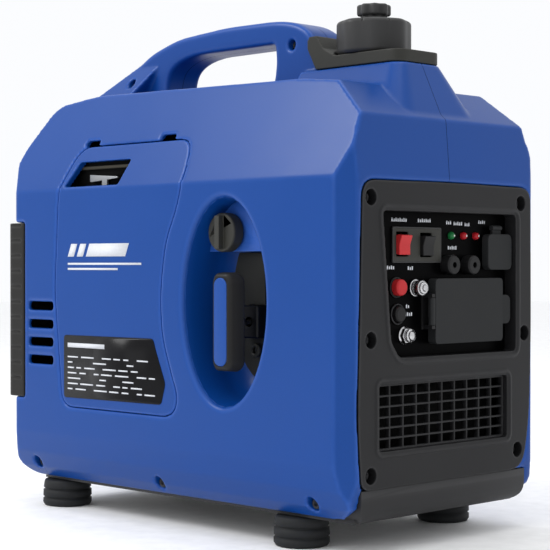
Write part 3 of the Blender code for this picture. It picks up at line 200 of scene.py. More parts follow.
def paints():
    """Every material: its colour, roughness, grain, relief depth, colour drift and painted edge highlight.
    """
    # The last number of each row is a painted highlight: how much sharp edges are lightened, most on the
    # grip and the blue body.
    rows = {
        "blue_plastic": ((0.0022, 0.047, 0.238), 0.32, 1500, 0.00003, 0.05, 0.55),
        "grey_plastic": ((0.0105, 0.0105, 0.0115), 0.50, 1100, 0.00007, 0.10, 0.50),
        "black_plastic": ((0.0045, 0.0045, 0.005), 0.42, 1500, 0.00004, 0.12, 0.10),
        "black_rubber": ((0.011, 0.012, 0.013), 0.65, 900, 0.00007, 0.15, 0.08),
        "red_plastic": ((0.42, 0.015, 0.018), 0.28, 1500, 0.00002, 0.08, 0.15),
        "green_lens": ((0.008, 0.13, 0.035), 0.12, 1500, 0.00001, 0.15, 0.1),
        "red_lens": ((0.34, 0.008, 0.014), 0.12, 1500, 0.00001, 0.15, 0.1),
        "ceramic": ((0.74, 0.74, 0.72), 0.30, 700, 0.00002, 0.05, 0.0),
        # foam is also the near-black painted shade behind openings and inside the shells.
        "foam": ((0.006, 0.006, 0.006), 0.95, 380, 0.0010, 0.3, 0.0),
        "rope": ((0.020, 0.020, 0.021), 0.85, 600, 0.0004, 0.3, 0.0),
        "yellow_plastic": ((0.55, 0.36, 0.02), 0.40, 1200, 0.00004, 0.08, 0.1),
        "panel_black": ((0.0012, 0.0012, 0.0014), 0.35, 900, 0.00003, 0.15, 0.0),
        "olive_plastic": ((0.025, 0.025, 0.021), 0.50, 900, 0.00008, 0.12, 0.15),
        "label": ((0.006, 0.006, 0.007), 0.25, 500, 0.00001, 0.15, 0.0),
        "print": ((0.62, 0.64, 0.68), 0.5, 900, 0.00001, 0.05, 0.0),
        "olive_dark": ((0.0088, 0.0083, 0.0072), 0.50, 900, 0.00008, 0.12, 0.15),
        "cap_grey": ((0.024, 0.024, 0.024), 0.42, 900, 0.00005, 0.10, 0.3),
        # The grip's high last value paints a highlight on its rounded rims.
        "grip_black": ((0.0050, 0.0048, 0.0047), 0.40, 1200, 0.00004, 0.12, 0.85),
        "brown_gasket": ((0.045, 0.040, 0.029), 0.7, 900, 0.00006, 0.2, 0.0),
    }
    gleams = {"panel_black": 0.02, "label": 0.12, "foam": 0.05, "blue_plastic": 0.21, "grip_black": 0.12}
    made = {name: grained(name, *row, gleam=gleams.get(name, GLEAM)) for name, row in rows.items()}
    # In these rows the number before the metallic value is the painted edge highlight.
    metals = {
        "steel": ((0.50, 0.50, 0.51), 0.24, 700, 0.00003, 0.12, 0.1, 1.0),
        "alloy": ((0.33, 0.34, 0.35), 0.46, 420, 0.00018, 0.14, 0.1, 0.85),
        "copper_winding": ((0.45, 0.17, 0.06), 0.38, 500, 0.0002, 0.2, 0.0, 0.8),
        "dark_steel": ((0.030, 0.030, 0.032), 0.40, 700, 0.00003, 0.15, 0.1, 0.7),
    }
    made.update({name: grained(name, *row) for name, row in metals.items()})
    return made


studio()
camera()
PAINT = paints()

# --- CAD nodes that are shown as they are ---


def bevel(piece, width, segments, angle):
    edge = piece.modifiers.new("edges", "BEVEL")
    edge.width = width
    edge.segments = segments
    edge.limit_method = "ANGLE"
    edge.angle_limit = math.radians(angle)


def rounded_edges(piece, width):
    """Modifiers that clean a faceted solid, round its edges and even out its shading."""
    weld = piece.modifiers.new("weld", "WELD")
    weld.merge_threshold = 0.00002
    flat = piece.modifiers.new("flat", "DECIMATE")
    flat.decimate_type = "DISSOLVE"
    flat.angle_limit = math.radians(1)
    bevel(piece, width, 2, 30)
    even = piece.modifiers.new("even", "WEIGHTED_NORMAL")
    even.keep_sharp = True


NODE_PAINT = {
    "control_panel": "panel_black", "switch_plate": "olive_plastic", "fuel_valve_knob": "olive_plastic",
    "choke_lever": "alloy", "muffler": "dark_steel", "filler_surround": "olive_plastic",
    "bottom_tray": "grey_plastic",
}
NODE_EDGE = 0.0006
for node, piece in NODES.items():
    piece.data.materials.clear()
    piece.data.materials.append(PAINT[NODE_PAINT.get(node, SLOT_OF[node])])
    piece.data.shade_smooth()
    rounded_edges(piece, NODE_EDGE)

# --- Mesh tools ---

AXES = {
    "X": Matrix(((0, 0, 1, 0), (1, 0, 0, 0), (0, 1, 0, 0), (0, 0, 0, 1))),
    "Y": Matrix(((1, 0, 0, 0), (0, 0, -1, 0), (0, 1, 0, 0), (0, 0, 0, 1))),
    "Z": Matrix.Identity(4),
}


def loose(mesh):
    """A new object in the scene that isn't yet a piece of the model."""
    made = bpy.data.objects.new("loose", mesh)
    bpy.context.scene.collection.objects.link(made)
    return made


def from_bmesh(bm):
    mesh = bpy.data.meshes.new("mesh")
    bm.to_mesh(mesh)
    bm.free()
    return loose(mesh)


def bake(piece):
    """Turns what the modifiers make into the piece's own mesh."""
    bpy.context.view_layer.update()
    shown = piece.evaluated_get(bpy.context.evaluated_depsgraph_get())
    mesh = bpy.data.meshes.new_from_object(shown)
    piece.modifiers.clear()
    piece.data = mesh
    return piece


def combine(piece, tools, operation):
    for tool in tools:
        step = piece.modifiers.new(operation, "BOOLEAN")
        step.operation = operation
        step.object = tool
    bake(piece)
    for tool in tools:
        bpy.data.objects.remove(tool, do_unlink=True)
    return piece


def cut(piece, *tools):
    return combine(piece, tools, "DIFFERENCE")


def join(piece, *tools):
    return combine(piece, tools, "UNION")


def keep(piece, *tools):
    return combine(piece, tools, "INTERSECT")


def copy_of(piece):
    return loose(piece.data.copy())


def blocks(boxes):
    """Many boxes, each as low corner and high corner, in one object."""
    bm = bmesh.new()
    for low, high in boxes:
        made = bmesh.ops.create_cube(bm, size=1)["verts"]
        bmesh.ops.scale(bm, vec=Vector(high) - Vector(low), verts=made)
        bmesh.ops.translate(bm, vec=(Vector(low) + Vector(high)) / 2, verts=made)
    return from_bmesh(bm)


def block(x, y, z):
    """One box, by its span along each axis."""
    return blocks([tuple(zip(x, y, z))])


def frustum(x, y, z, top_x, top_y):
    """A box whose top is another size than its base."""
    made = block(x, y, z)
    for corner in made.data.vertices:
        if corner.co.z > (z[0] + z[1]) / 2:
            corner.co.x = top_x[1] if corner.co.x > sum(x) / 2 else top_x[0]
            corner.co.y = top_y[1] if corner.co.y > sum(y) / 2 else top_y[0]
    return made


def rod(axis, at, radius, low, high, sides=32):
    """A cylinder along an axis, from low to high on it."""
    bm = bmesh.new()
    bmesh.ops.create_cone(
        bm, cap_ends=True, segments=sides, radius1=radius, radius2=radius, depth=high - low
    )
    centre = Vector(at)
    centre["XYZ".index(axis)] = (low + high) / 2
    bmesh.ops.transform(bm, matrix=Matrix.Translation(centre) @ AXES[axis], verts=bm.verts)
    return from_bmesh(bm)


def loft(base, top, low, high):
    """A solid between two outlines of as many points, at two heights."""
    made = slab(base, "Z", low, high)
    for corner, (x, y) in zip(made.data.vertices[len(base):], top):
        corner.co.x, corner.co.y = x, y
    return made


def slab(outline, axis, low, high):
    """A flat outline with a thickness from low to high along the axis."""
    bm = bmesh.new()
    rings = [[bm.verts.new((u, v, w)) for u, v in outline] for w in (low, high)]
    bm.faces.new(list(reversed(rings[0])))
    bm.faces.new(rings[1])
    for i in range(len(outline)):
        j = (i + 1) % len(outline)
        bm.faces.new((rings[0][i], rings[0][j], rings[1][j], rings[1][i]))
    bmesh.ops.transform(bm, matrix=AXES[axis], verts=bm.verts)
    bmesh.ops.recalc_face_normals(bm, faces=bm.faces)
    if axis == "Y":
        bmesh.ops.translate(bm, vec=(0, low + high, 0), verts=bm.verts)
    return from_bmesh(bm)


def arc(centre, radii, start, end, count):
    steps = [math.radians(start + (end - start) * i / count) for i in range(count + 1)]
    return [(centre[0] + radii[0] * math.cos(a), centre[1] + radii[1] * math.sin(a)) for a in steps]


def ellipse(centre, radii, count):
    return arc(centre, radii, 0, 360, count)[:-1]


def rounded(u, v, radius, count=6):
    low_u, high_u = u[0] + radius, u[1] - radius
    low_v, high_v = v[0] + radius, v[1] - radius
    corners = ((high_u, low_v, -90), (high_u, high_v, 0), (low_u, high_v, 90), (low_u, low_v, 180))
    outline = []
    for cu, cv, start in corners:
        outline += arc((cu, cv), (radius, radius), start, start + 90, count)
    return outline


def eased(outline, reach, steps=5):
    """A closed outline with its corners turned into curves that start up to a distance from each corner."""
    reaches = reach if isinstance(reach, list) else [reach] * len(outline)
    result = []
    count = len(outline)
    for i, far in enumerate(reaches):
        before, here, after = (Vector(outline[j % count]) for j in (i - 1, i, i + 1))
        if far == 0:
            result.append(tuple(here))
            continue
        start = here + (before - here) * min(0.5, far / (before - here).length)
        end = here + (after - here) * min(0.5, far / (after - here).length)
        for k in range(steps + 1):
            t = k / steps
            point = start * (1 - t) ** 2 + here * (2 * t * (1 - t)) + end * t**2
            if not result or (point - Vector(result[-1])).length > 0.0001:
                result.append(tuple(point))
    if (Vector(result[0]) - Vector(result[-1])).length < 0.0001:
        result.pop()
    return result


def turned(profile, axis, at, steps=48):
    """A profile of radius and distance along the axis, turned about it."""
    bm = bmesh.new()
    rings = []
    for radius, along in profile:
        count = steps if radius else 1
        turns = [2 * math.pi * i / steps for i in range(count)]
        rings.append([bm.verts.new((radius * math.cos(a), radius * math.sin(a), along)) for a in turns])
    following = rings[1:] + ([] if len(rings[0]) == 1 else rings[:1])
    for low, high in zip(rings, following):
        for i in range(steps):
            j = (i + 1) % steps
            corners = [low[i % len(low)], low[j % len(low)], high[j % len(high)], high[i % len(high)]]
            bm.faces.new(list(dict.fromkeys(corners)))
    bmesh.ops.transform(bm, matrix=Matrix.Translation(at) @ AXES[axis], verts=bm.verts)
    bmesh.ops.recalc_face_normals(bm, faces=bm.faces)
    return from_bmesh(bm)


def merged(pieces):
    """Several objects as one, without a boolean."""
    bm = bmesh.new()
    for piece in pieces:
        bm.from_mesh(piece.data)
        bpy.data.objects.remove(piece, do_unlink=True)
    return from_bmesh(bm)


def lobed(centre, radius, depth, lobes, per_lobe=8):
    """A circle with a row of shallow valleys in its edge."""
    outline = []
    for i in range(lobes * per_lobe):
        a = 2 * math.pi * i / (lobes * per_lobe)
        reach = radius - depth * (0.5 - 0.5 * math.cos(lobes * a))
        outline.append((centre[0] + reach * math.cos(a), centre[1] + reach * math.sin(a)))
    return outline


def soften(piece, width, segments, angle=35):
    """Rounds a piece's edges for good."""
    bevel(piece, width, segments, angle)
    return bake(piece)


def thinned(piece, share):
    """Keeps a share of a mesh's triangles."""
    fewer = piece.modifiers.new("fewer", "DECIMATE")
    fewer.ratio = share
    return bake(piece)


def moulded(piece, voxel, rounds, share=1.0):
    """One skin with every edge rounded off, as it comes out of a mould."""
    grid = piece.modifiers.new("grid", "REMESH")
    grid.mode = "VOXEL"
    grid.voxel_size = voxel
    relax = piece.modifiers.new("relax", "SMOOTH")
    relax.factor = 0.5
    relax.iterations = rounds
    if share < 1:
        fewer = piece.modifiers.new("fewer", "DECIMATE")
        fewer.ratio = share
    return bake(piece)


def finish_piece(name, made, body, slot, paint=None):
    """Names a piece, gives it its material, and sets the body it rides on."""
    made.name = name
    made.data.name = name
    made.data.materials.clear()
    made.data.materials.append(PAINT[paint or slot])
    made.data.shade_smooth()
    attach(made, body)


def finish_skin(node, made, paint=None):
    """Finishes the piece that stands for a CAD node, on the node's own body and in its slot."""
    finish_piece(node + "_skin", made, BODY_OF[node], SLOT_OF[node], paint)
    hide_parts(node)


# --- Shells ---

BEZEL_LOW, BEZEL_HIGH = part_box("front_bezel")
SHELL_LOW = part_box("shell_left")[0]
LOUVRE_LOW, LOUVRE_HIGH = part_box("rear_louvre")
SURROUND_LOW, SURROUND_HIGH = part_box("filler_surround")
HALF_W = -SHELL_LOW.y
HALF_L = BEZEL_HIGH.x
FRONT_X = HALF_L - 0.0015
REAR_X = -HALF_L + 0.004
FLOOR_Z = SHELL_LOW.z
CREASE_Z = BEZEL_HIGH.z + 0.0015
ROOF_Z = CREASE_Z + 0.0765
LOWER_CREASE_Z = 0.057
LEAN = 0.424
CORNER = 0.0115
WALL = 0.0036
CLEAR = 0.0004  # between pieces that meet
DEEP = 0.012  # of the openings that don't go through the body
OUT = -HALF_W - 0.02  # beyond the left side
SHELL_VOXEL = 0.0014
DOOR_VOXEL = 0.0010
SKIN_SHARE = 0.35
INNER_SHADE_DEPTH = 0.0014
STARTER = (0.0715, 0.170)
BOWL_R = (0.043, 0.075)
CHIN_HALF_W = 0.0905
FILLER = middle("fuel_cap")


def bezel_outline():
    """The front bezel, as (y, z): it narrows a little to its foot and to its top."""
    half = BEZEL_HIGH.y
    low, high = BEZEL_LOW.z, BEZEL_HIGH.z
    corners = [
        (0.0035 - half, low), (half - 0.0105, low), (half - 0.0025, low + 0.034), (half, low + 0.090),
        (half - 0.0005, high - 0.001), (0, high), (0.0045 - half, high - 0.001),
        (0.0020 - half, low + 0.110), (-half, low + 0.045),
    ]
    return eased(corners, [0.008, 0.014, 0.02, 0.03, 0.012, 0.05, 0.012, 0.03, 0.02])


def side_outline():
    """The body from the side: crisp at the front ridge, and round at the rear."""
    crisp = [
        (FRONT_X - 0.018, FLOOR_Z), (FRONT_X - 0.005, FLOOR_Z + 0.009), (FRONT_X, FLOOR_Z + 0.028),
        (FRONT_X, CREASE_Z), (FRONT_X - 0.0035, CREASE_Z + 0.043), (FRONT_X - 0.0335, ROOF_Z - 0.009),
        (FRONT_X - 0.0700, ROOF_Z - 0.005),
    ]
    soft = [
        (REAR_X + 0.080, ROOF_Z), (REAR_X + 0.0285, ROOF_Z - 0.0055), (REAR_X + 0.0012, ROOF_Z - 0.045),
        (REAR_X, CREASE_Z), (REAR_X, FLOOR_Z + 0.028),
        (REAR_X + 0.004, FLOOR_Z + 0.010), (REAR_X + 0.015, FLOOR_Z),
    ]
    return eased(crisp + soft, [0] * len(crisp) + [0.012] * len(soft), 4)


def end_outline():
    """The body from its ends: upright sides that lean in above the crease."""
    over = ROOF_Z + 0.02
    top = HALF_W - (over - CREASE_Z) * LEAN
    right = [
        (HALF_W - 0.0175, FLOOR_Z - 0.001), (HALF_W - 0.0095, FLOOR_Z + 0.008),
        (HALF_W - 0.0030, FLOOR_Z + 0.021), (HALF_W, LOWER_CREASE_Z + 0.004), (HALF_W, CREASE_Z),
        (top, over),
    ]
    return right + [(-y, z) for y, z in reversed(right)]


def plan_outline():
    """The body from above: a box with its corners cut."""
    quarter = [(FRONT_X - CORNER, -HALF_W), (FRONT_X, -HALF_W + CORNER)]
    front = quarter + [(x, -y) for x, y in reversed(quarter)]
    return front + [(REAR_X + FRONT_X - x, y) for x, y in reversed(front)]


def depth_inside(points):
    """How far each point lies inside the plain body, by the nearest of its faces."""
    nearest = np.full(len(points), 1.0)
    for outline, u, v in ((side_outline(), 0, 2), (end_outline(), 1, 2), (plan_outline(), 0, 1)):
        for (u0, v0), (u1, v1) in zip(outline, outline[1:] + outline[:1]):
            length = math.hypot(u1 - u0, v1 - v0)
            side = (u1 - u0) * (points[:, v] - v0) - (v1 - v0) * (points[:, u] - u0)
            nearest = np.minimum(nearest, side / length)
    return nearest


def body_volume():
    """The plain body: what its three outlines have in common."""
    reach = 0.5
    volume = slab(side_outline(), "Y", -reach, reach)
    return keep(volume, slab(end_outline(), "X", -reach, reach), slab(plan_outline(), "Z", -reach, reach))


def handle():
    """The grab handle: a bar on a round arch, with a rear foot that flares to the roof's edges."""
    top = ROOF_Z + 0.0520
    under = top - 0.0185
    front = FILLER.x - 0.046
    rear = REAR_X + 0.012
    sunk = ROOF_Z - 0.012
    low = ROOF_Z - 0.045
    half = 0.018
    over = [
        (rear + 0.010, sunk), (rear + 0.0305, ROOF_Z + 0.0185), (rear + 0.062, ROOF_Z + 0.0385),
        (rear + 0.098, top - 0.0035), (rear + 0.156, top), (front - 0.036, top - 0.001),
        (front - 0.014, top - 0.0055), (front + 0.0015, top - 0.0160), (front + 0.009, sunk),
    ]
    back = [
        (front - 0.0450, sunk), (front - 0.0390, under - 0.016), (front - 0.0405, under),
        (rear + 0.118, under), (rear + 0.096, under - 0.005), (rear + 0.0845, under - 0.015),
        (rear + 0.083, sunk),
    ]
    reaches = [0.013] * (len(over) + 1) + [0.008, 0.004] + [0.013] * 4
    bar = slab(eased(over + back, reaches, 5), "Y", -half, half)
    soften(bar, 0.0065, 4, 50)
    foot = frustum(
        (rear - 0.0557, rear + 0.028), (-0.0707, 0.0707), (low, ROOF_Z + 0.034),
        (rear + 0.0533, rear + 0.0785), (-0.014, 0.014),
    )
    limit = REAR_X + 0.022
    slope = [(REAR_X + 0.002, low), (0, low), (0, top), (limit, top), (limit, ROOF_Z + 0.003)]
    keep(foot, slab(slope, "Y", -HALF_W, HALF_W))
    return bar, foot


def filler_mound():
    """The raised seat of the fuel filler, with wide round corners towards the front."""
    lip = SURROUND_LOW.z - 0.0003
    rear = FILLER.x - 0.052
    base = mound_plan(rear, FILLER.x + 0.0655, 0.0500, 0.020)
    top = mound_plan(rear, FILLER.x + 0.0455, SURROUND_HIGH.y, 0.0095)
    return loft(base, top, ROOF_Z - 0.034, lip)


def mound_plan(rear, front, half, radius):
    """An outline from above that is round towards the front."""
    corner = arc((front - radius, half - radius), (radius, radius), 0, 90, 8)
    return [(rear, -half)] + [(x, -y) for x, y in reversed(corner)] + corner + [(rear, half)]


def door_outline():
    """The maintenance door from the side: a rounded panel whose front edge follows the starter."""
    foot = LOWER_CREASE_Z + 0.027
    top = CREASE_Z + 0.034
    rear = -0.122
    corners = [
        (rear + 0.006, foot), (0.016, foot), (0.0235, foot + 0.014), (0.0155, foot + 0.032),
        (0.0050, foot + 0.060), (0.0033, foot + 0.092), (0.0090, foot + 0.130), (0.0225, foot + 0.156),
        (0.0280, CREASE_Z + 0.006), (0.0235, top), (rear + 0.014, top), (rear + 0.001, CREASE_Z),
        (rear - 0.004, CREASE_Z - 0.080),
    ]
    return eased(corners, 0.013, 5)


def window_outline():
    """The slanted window in the door."""
    low = CREASE_Z + 0.002
    high = CREASE_Z + 0.0215
    return [(-0.115, low), (-0.048, low), (-0.041, high), (-0.104, high)]


SIDE_SCREWS = [(-0.158, 0.036), (-0.008, 0.033), (0.152, 0.034)]
HANDLE_SCREWS = [(-0.126, 0.347), (0.052, 0.3635)]
SCREW_R = 0.0050
HANDLE_SCREW_R = 0.0040
SIDE_SEAT = HALF_W - 0.016
HANDLE_SEAT = 0.010
HINGE_SLOTS = (-0.104, -0.0135)
VENT_ROWS = (0.1165, 0.131, 0.1455, 0.160)
DOOR_INSET = 0.0004
RECESS_BEVEL = 0.0022


def screw_pockets():
    """Blind holes in the side for the long case screws, at both sides."""
    kinds = ((SIDE_SCREWS, SCREW_R, SIDE_SEAT), (HANDLE_SCREWS, HANDLE_SCREW_R, HANDLE_SEAT))
    holes = []
    for places, radius, seat in kinds:
        for x, z in places:
            holes.append(rod("Y", (x, 0, z), radius, OUT, -seat))
            holes.append(rod("Y", (x, 0, z), radius, seat, -OUT))
    return holes


def open_skin(piece, most):
    """Takes away what lies deeper than the wall: every pocket but the screws' becomes an opening."""
    middles = np.zeros((len(piece.data.polygons), 3))
    piece.data.polygons.foreach_get("center", middles.ravel())
    deep = depth_inside(middles) > most
    for x, z in SIDE_SCREWS:
        deep &= np.hypot(middles[:, 0] - x, middles[:, 2] - z) > SCREW_R * 1.5
    bm = bmesh.new()
    bm.from_mesh(piece.data)
    bm.faces.ensure_lookup_table()
    bmesh.ops.delete(bm, geom=[bm.faces[i] for i in np.flatnonzero(deep)], context="FACES")
    bm.to_mesh(piece.data)
    bm.free()


def openings_of_both():
    """The tools for both halves: front and rear frames, chin, filler neck, tray and screws."""
    bezel_hole = slab(shrunk(bezel_outline(), -CLEAR), "X", FRONT_X - 0.020, FRONT_X + 0.02)
    louvre_hole = block(
        (REAR_X - 0.02, LOUVRE_HIGH.x + 0.0005), (OUT, -OUT), (LOUVRE_LOW.z - CLEAR, LOUVRE_HIGH.z + CLEAR)
    )
    louvre_hole = keep(louvre_hole, outer_layer())
    neck = rod("Z", (FILLER.x, 0, 0), 0.0202, ROOF_Z - 0.02, ROOF_Z + 0.05)
    half = HALF_W - 0.020
    tray = block((REAR_X + 0.024, FRONT_X - 0.010), (-half, half), (FLOOR_Z - 0.01, FLOOR_Z + DEEP))
    return [bezel_hole, chin_block(CLEAR), louvre_hole, neck, tray, *screw_pockets()]


def openings_of_left():
    """The tools for the left half alone: door, starter recess, hinge slots and vents."""
    inner = -HALF_W + DEEP
    door_hole = slab(door_outline(), "Y", OUT, inner + 0.03)
    recess = slab(ellipse(STARTER, BOWL_R, 72), "Y", OUT, inner)
    slot_z = (CREASE_Z + 0.033, CREASE_Z + 0.0385)
    hinges = [block((x, x + 0.017), (OUT, inner + 0.015), slot_z) for x in HINGE_SLOTS]
    vents = [block((-0.161, -0.128), (OUT, inner), (z, z + 0.0068)) for z in VENT_ROWS]
    return [door_hole, recess, recess_rim(), *hinges, *vents]


def keep_half(piece, side):
    """Takes away what lies on the other side of the parting plane."""
    bm = bmesh.new()
    bm.from_mesh(piece.data)
    bmesh.ops.bisect_plane(
        bm, geom=bm.verts[:] + bm.edges[:] + bm.faces[:], plane_co=(0, side * CLEAR / 2, 0),
        plane_no=(0, -side, 0), clear_outer=True,
    )
    bm.to_mesh(piece.data)
    bm.free()


def shells():
    """The two halves of the body, each a thin skin with a near-black sheet inside it as painted shade."""
    left = body_volume()
    join(left, *handle(), filler_mound())
    cut(left, *openings_of_both())
    right = copy_of(left)
    cut(left, *openings_of_left())
    for name, piece, side in (("shell_left", left, -1), ("shell_right", right, 1)):
        moulded(piece, SHELL_VOXEL, 4)
        keep_half(piece, side)
        open_skin(piece, WALL)
        thinned(piece, SKIN_SHARE)
        finish_skin(name, piece)
        # A near-black sheet inside each half as painted shade.
        shade_inside(name + "_lining", piece)


def recess_rim():
    """The bevel round the starter recess, as a tool."""
    rim = slab(ellipse(STARTER, BOWL_R, 72), "Y", -HALF_W - RECESS_BEVEL, -HALF_W + RECESS_BEVEL)
    for corner in rim.data.vertices:
        if corner.co.y < -HALF_W:
            for axis, centre, radius in zip((0, 2), STARTER, BOWL_R):
                corner.co[axis] += (corner.co[axis] - centre) / radius * 2 * RECESS_BEVEL
    return rim


def chin_block(clear):
    """The low front end of the body, which is grey, as a tool."""
    half = CHIN_HALF_W + clear
    return block((FRONT_X - 0.024 - clear, FRONT_X + 0.01), (-half, half), (FLOOR_Z - 0.01, BEZEL_LOW.z))


def shade_inside(name, skin):
    """A near-black sheet inside a shell as painted shade: its own skin moved in by its thickness."""
    made = copy_of(skin)
    normals = [corner.normal.copy() for corner in made.data.vertices]
    for corner, normal in zip(made.data.vertices, normals):
        corner.co -= normal * INNER_SHADE_DEPTH
    thinned(made, SKIN_SHARE)
    made.data.flip_normals()
    # The foam material here is near-black painted shade on the inner faces.
    finish_piece(name, made, BODY_OF[skin.name.replace("_skin", "")], "foam")


def outer_layer():
    """What lies near the body's own faces, as a tool for openings that aren't to go through."""
    whole = block((-1, 1), (-1, 1), (-1, 1))
    inner = block((REAR_X + DEEP, FRONT_X - DEEP), (-HALF_W + DEEP, HALF_W - DEEP), (-0.5, 0.5))
    return cut(whole, inner)


def door():
    """The maintenance door with its window, a little lower than the body so that its marks are flush."""
    panel = slab(shrunk(door_outline(), CLEAR), "Y", OUT, -0.05)
    keep(panel, body_volume())
    cut(panel, slab(window_outline(), "Y", OUT, -0.03))
    moulded(panel, DOOR_VOXEL, 3)
    open_skin(panel, WALL + 0.0019)
    thinned(panel, SKIN_SHARE)
    panel.data.transform(Matrix.Translation((0, DOOR_INSET, 0)))
    finish_skin("maintenance_door", panel)
    # A near-black sheet inside the door as painted shade.
    shade_inside("maintenance_door_lining", panel)


def shrunk(outline, distance):
    """An outline, listed anticlockwise, with its points moved in along their corners."""
    result = []
    count = len(outline)
    for i in range(count):
        before, here, after = (Vector(outline[j % count]) for j in (i - 1, i, i + 1))
        along = (after - before).normalized()
        result.append(tuple(here + Vector((-along.y, along.x)) * distance))
    return result


# --- Front end ---

PANEL_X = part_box("control_panel")[1].x
PLATE_X = BEZEL_HIGH.x - 0.0010
CONTROL = [(-0.0540, 0.1330), (0.0770, 0.1330), (0.0770, 0.2335), (-0.0710, 0.2335), (-0.0625, 0.1440)]
GRILLE_LOW, GRILLE_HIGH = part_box("front_grille")
GRILLE = [
    (GRILLE_LOW.y, GRILLE_LOW.z), (GRILLE_HIGH.y, GRILLE_LOW.z), (GRILLE_HIGH.y, GRILLE_HIGH.z),
    (GRILLE_LOW.y, GRILLE_HIGH.z),
]
BEZEL_SCREWS = [
    (-0.083, 0.242), (0.083, 0.242), (-0.083, 0.146), (0.0873, 0.146), (-0.083, 0.055), (0.079, 0.060),
]
WELL_R = 0.0056
WELL_WALL = 0.0010


def bezel():
    """The grey frame of the front end, with a raised lip round its two openings and deep screw holes."""
    back = BEZEL_LOW.x
    plate = slab(bezel_outline(), "X", BEZEL_HIGH.x - 0.0030, PLATE_X)
    control = eased(CONTROL, 0.004)
    opening = eased(GRILLE, 0.003)
    for inner in (control, opening):
        raised = slab(shrunk(inner, -0.0038), "X", back, BEZEL_HIGH.x)
        groove = slab(shrunk(inner, -0.0020), "X", BEZEL_HIGH.x - 0.0012, BEZEL_HIGH.x + 0.01)
        join(plate, cut(raised, groove))
    cut(
        plate, slab(control, "X", back - 0.01, 0.2), slab(opening, "X", back - 0.01, 0.2),
        *[rod("X", (0, y, z), WELL_R, back - 0.01, 0.2) for y, z in BEZEL_SCREWS],
    )
    floor = BEZEL_HIGH.x - 0.0090
    outer = WELL_R + WELL_WALL
    wall = [(WELL_R, -0.0008), (outer, -0.0008), (outer, 0.0067), (WELL_R, 0.0077)]
    seat = [(0, -0.0008), (outer, -0.0008), (outer, 0), (0, 0)]
    join(plate, *[turned(wall, "X", (floor, y, z), 32) for y, z in BEZEL_SCREWS])
    moulded(plate, 0.0007, 2, 0.30)
    finish_skin("front_bezel", plate)
    seats = [turned(seat, "X", (floor, y, z), 32) for y, z in BEZEL_SCREWS]
    finish_piece("bezel_screw_seats", merged(seats), "housing", "black_plastic")
    heads = [screw_head("X", (floor + 0.0002, y, z), 1, 0.0042) for y, z in BEZEL_SCREWS]
    finish_piece("bezel_screws", merged(heads), "housing", "steel", paint="dark_steel")


def screw_head(axis, at, facing, radius):
    """A round head with a hexagon recess."""
    tall = radius * 0.55
    head = turned(
        [(0, 0), (radius, 0), (radius, tall * 0.6), (radius * 0.8, tall), (0, tall)], "Z", (0, 0, 0), 32
    )
    cut(head, rod("Z", (0, 0, 0), radius * 0.48, tall * 0.35, tall * 2, 6))
    turn = {"X": Matrix.Rotation(math.pi / 2, 4, "Y"), "Y": Matrix.Rotation(-math.pi / 2, 4, "X")}[axis]
    if facing < 0:
        turn = Matrix.Rotation(math.pi, 4, "Z") @ turn
    head.data.transform(Matrix.Translation(at) @ turn)
    return head


def chin():
    """The grey foot of the front end and the flat tray behind it, with ribs and drain slots."""
    tray_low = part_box("bottom_tray")[0]
    low, high = tray_low.z, BEZEL_LOW.z - CLEAR
    half = CHIN_HALF_W - CLEAR / 2
    back, face = FRONT_X - 0.024, FRONT_X - 0.0018
    front = [(-half, high), (-half, low), (half, low), (half, high)]
    side = [
        (back, low), (FRONT_X - 0.0100, low), (FRONT_X - 0.0040, low + 0.004), (face, low + 0.012),
        (face, high), (back, high),
    ]
    nose = keep(
        slab(eased(front, [0, 0.016, 0.016, 0], 8), "X", 0, 0.3),
        slab(eased(side, [0, 0.006, 0.006, 0.006, 0, 0]), "Y", -HALF_W, HALF_W),
    )
    inside = HALF_W - 0.0205
    tray = block((tray_low.x, FRONT_X - 0.012), (-inside, inside), (low, FLOOR_Z + 0.002))
    rib_rows = [-0.13 + 0.04 * k for k in range(6)]
    slots = [
        ((x + 0.012, side_y - 0.018, 0), (x + 0.017, side_y + 0.018, 0.1))
        for x in rib_rows[:-1] for side_y in (-0.03, 0.03)
    ]
    cut(tray, blocks(slots))
    join(nose, tray)
    soften(nose, 0.0016, 3, 30)
    finish_skin("bottom_tray", nose)
    ribs = blocks([((x, -0.072, low), (x + 0.003, 0.072, FLOOR_Z + 0.003)) for x in rib_rows])
    finish_piece("tray_ribs", ribs, "housing", "grey_plastic")


def grille():
    """A fine lattice set back in its opening, with a near-black sheet behind it as painted shade."""
    columns, rows = 10, 6
    bar = 0.0013
    span_y, span_z = GRILLE_HIGH.y - GRILLE_LOW.y, GRILLE_HIGH.z - GRILLE_LOW.z
    rim = 0.0016
    plate = block(
        (GRILLE_LOW.x, GRILLE_HIGH.x), (GRILLE_LOW.y, GRILLE_HIGH.y), (GRILLE_LOW.z, GRILLE_HIGH.z)
    )
    step_y, step_z = (span_y - 2 * rim + bar) / columns, (span_z - 2 * rim + bar) / rows
    holes = []
    for i in range(columns):
        for j in range(rows):
            y = GRILLE_LOW.y + rim + step_y * i
            z = GRILLE_LOW.z + rim + step_z * j
            holes.append(((0.1, y, z), (0.2, y + step_y - bar, z + step_z - bar)))
    cut(plate, blocks(holes))
    soften(plate, 0.0003, 2, 40)
    finish_skin("front_grille", plate, "grey_plastic")
    # A near-black sheet behind the lattice: painted shade for the dark inside.
    behind = rounded((GRILLE_LOW.y - 0.002, GRILLE_HIGH.y + 0.002), (0.068, 0.1185), 0.002)
    shade_backing = slab(behind, "X", 0.1705, 0.1725)
    finish_piece("grille_baffle", shade_backing, "housing", "foam")


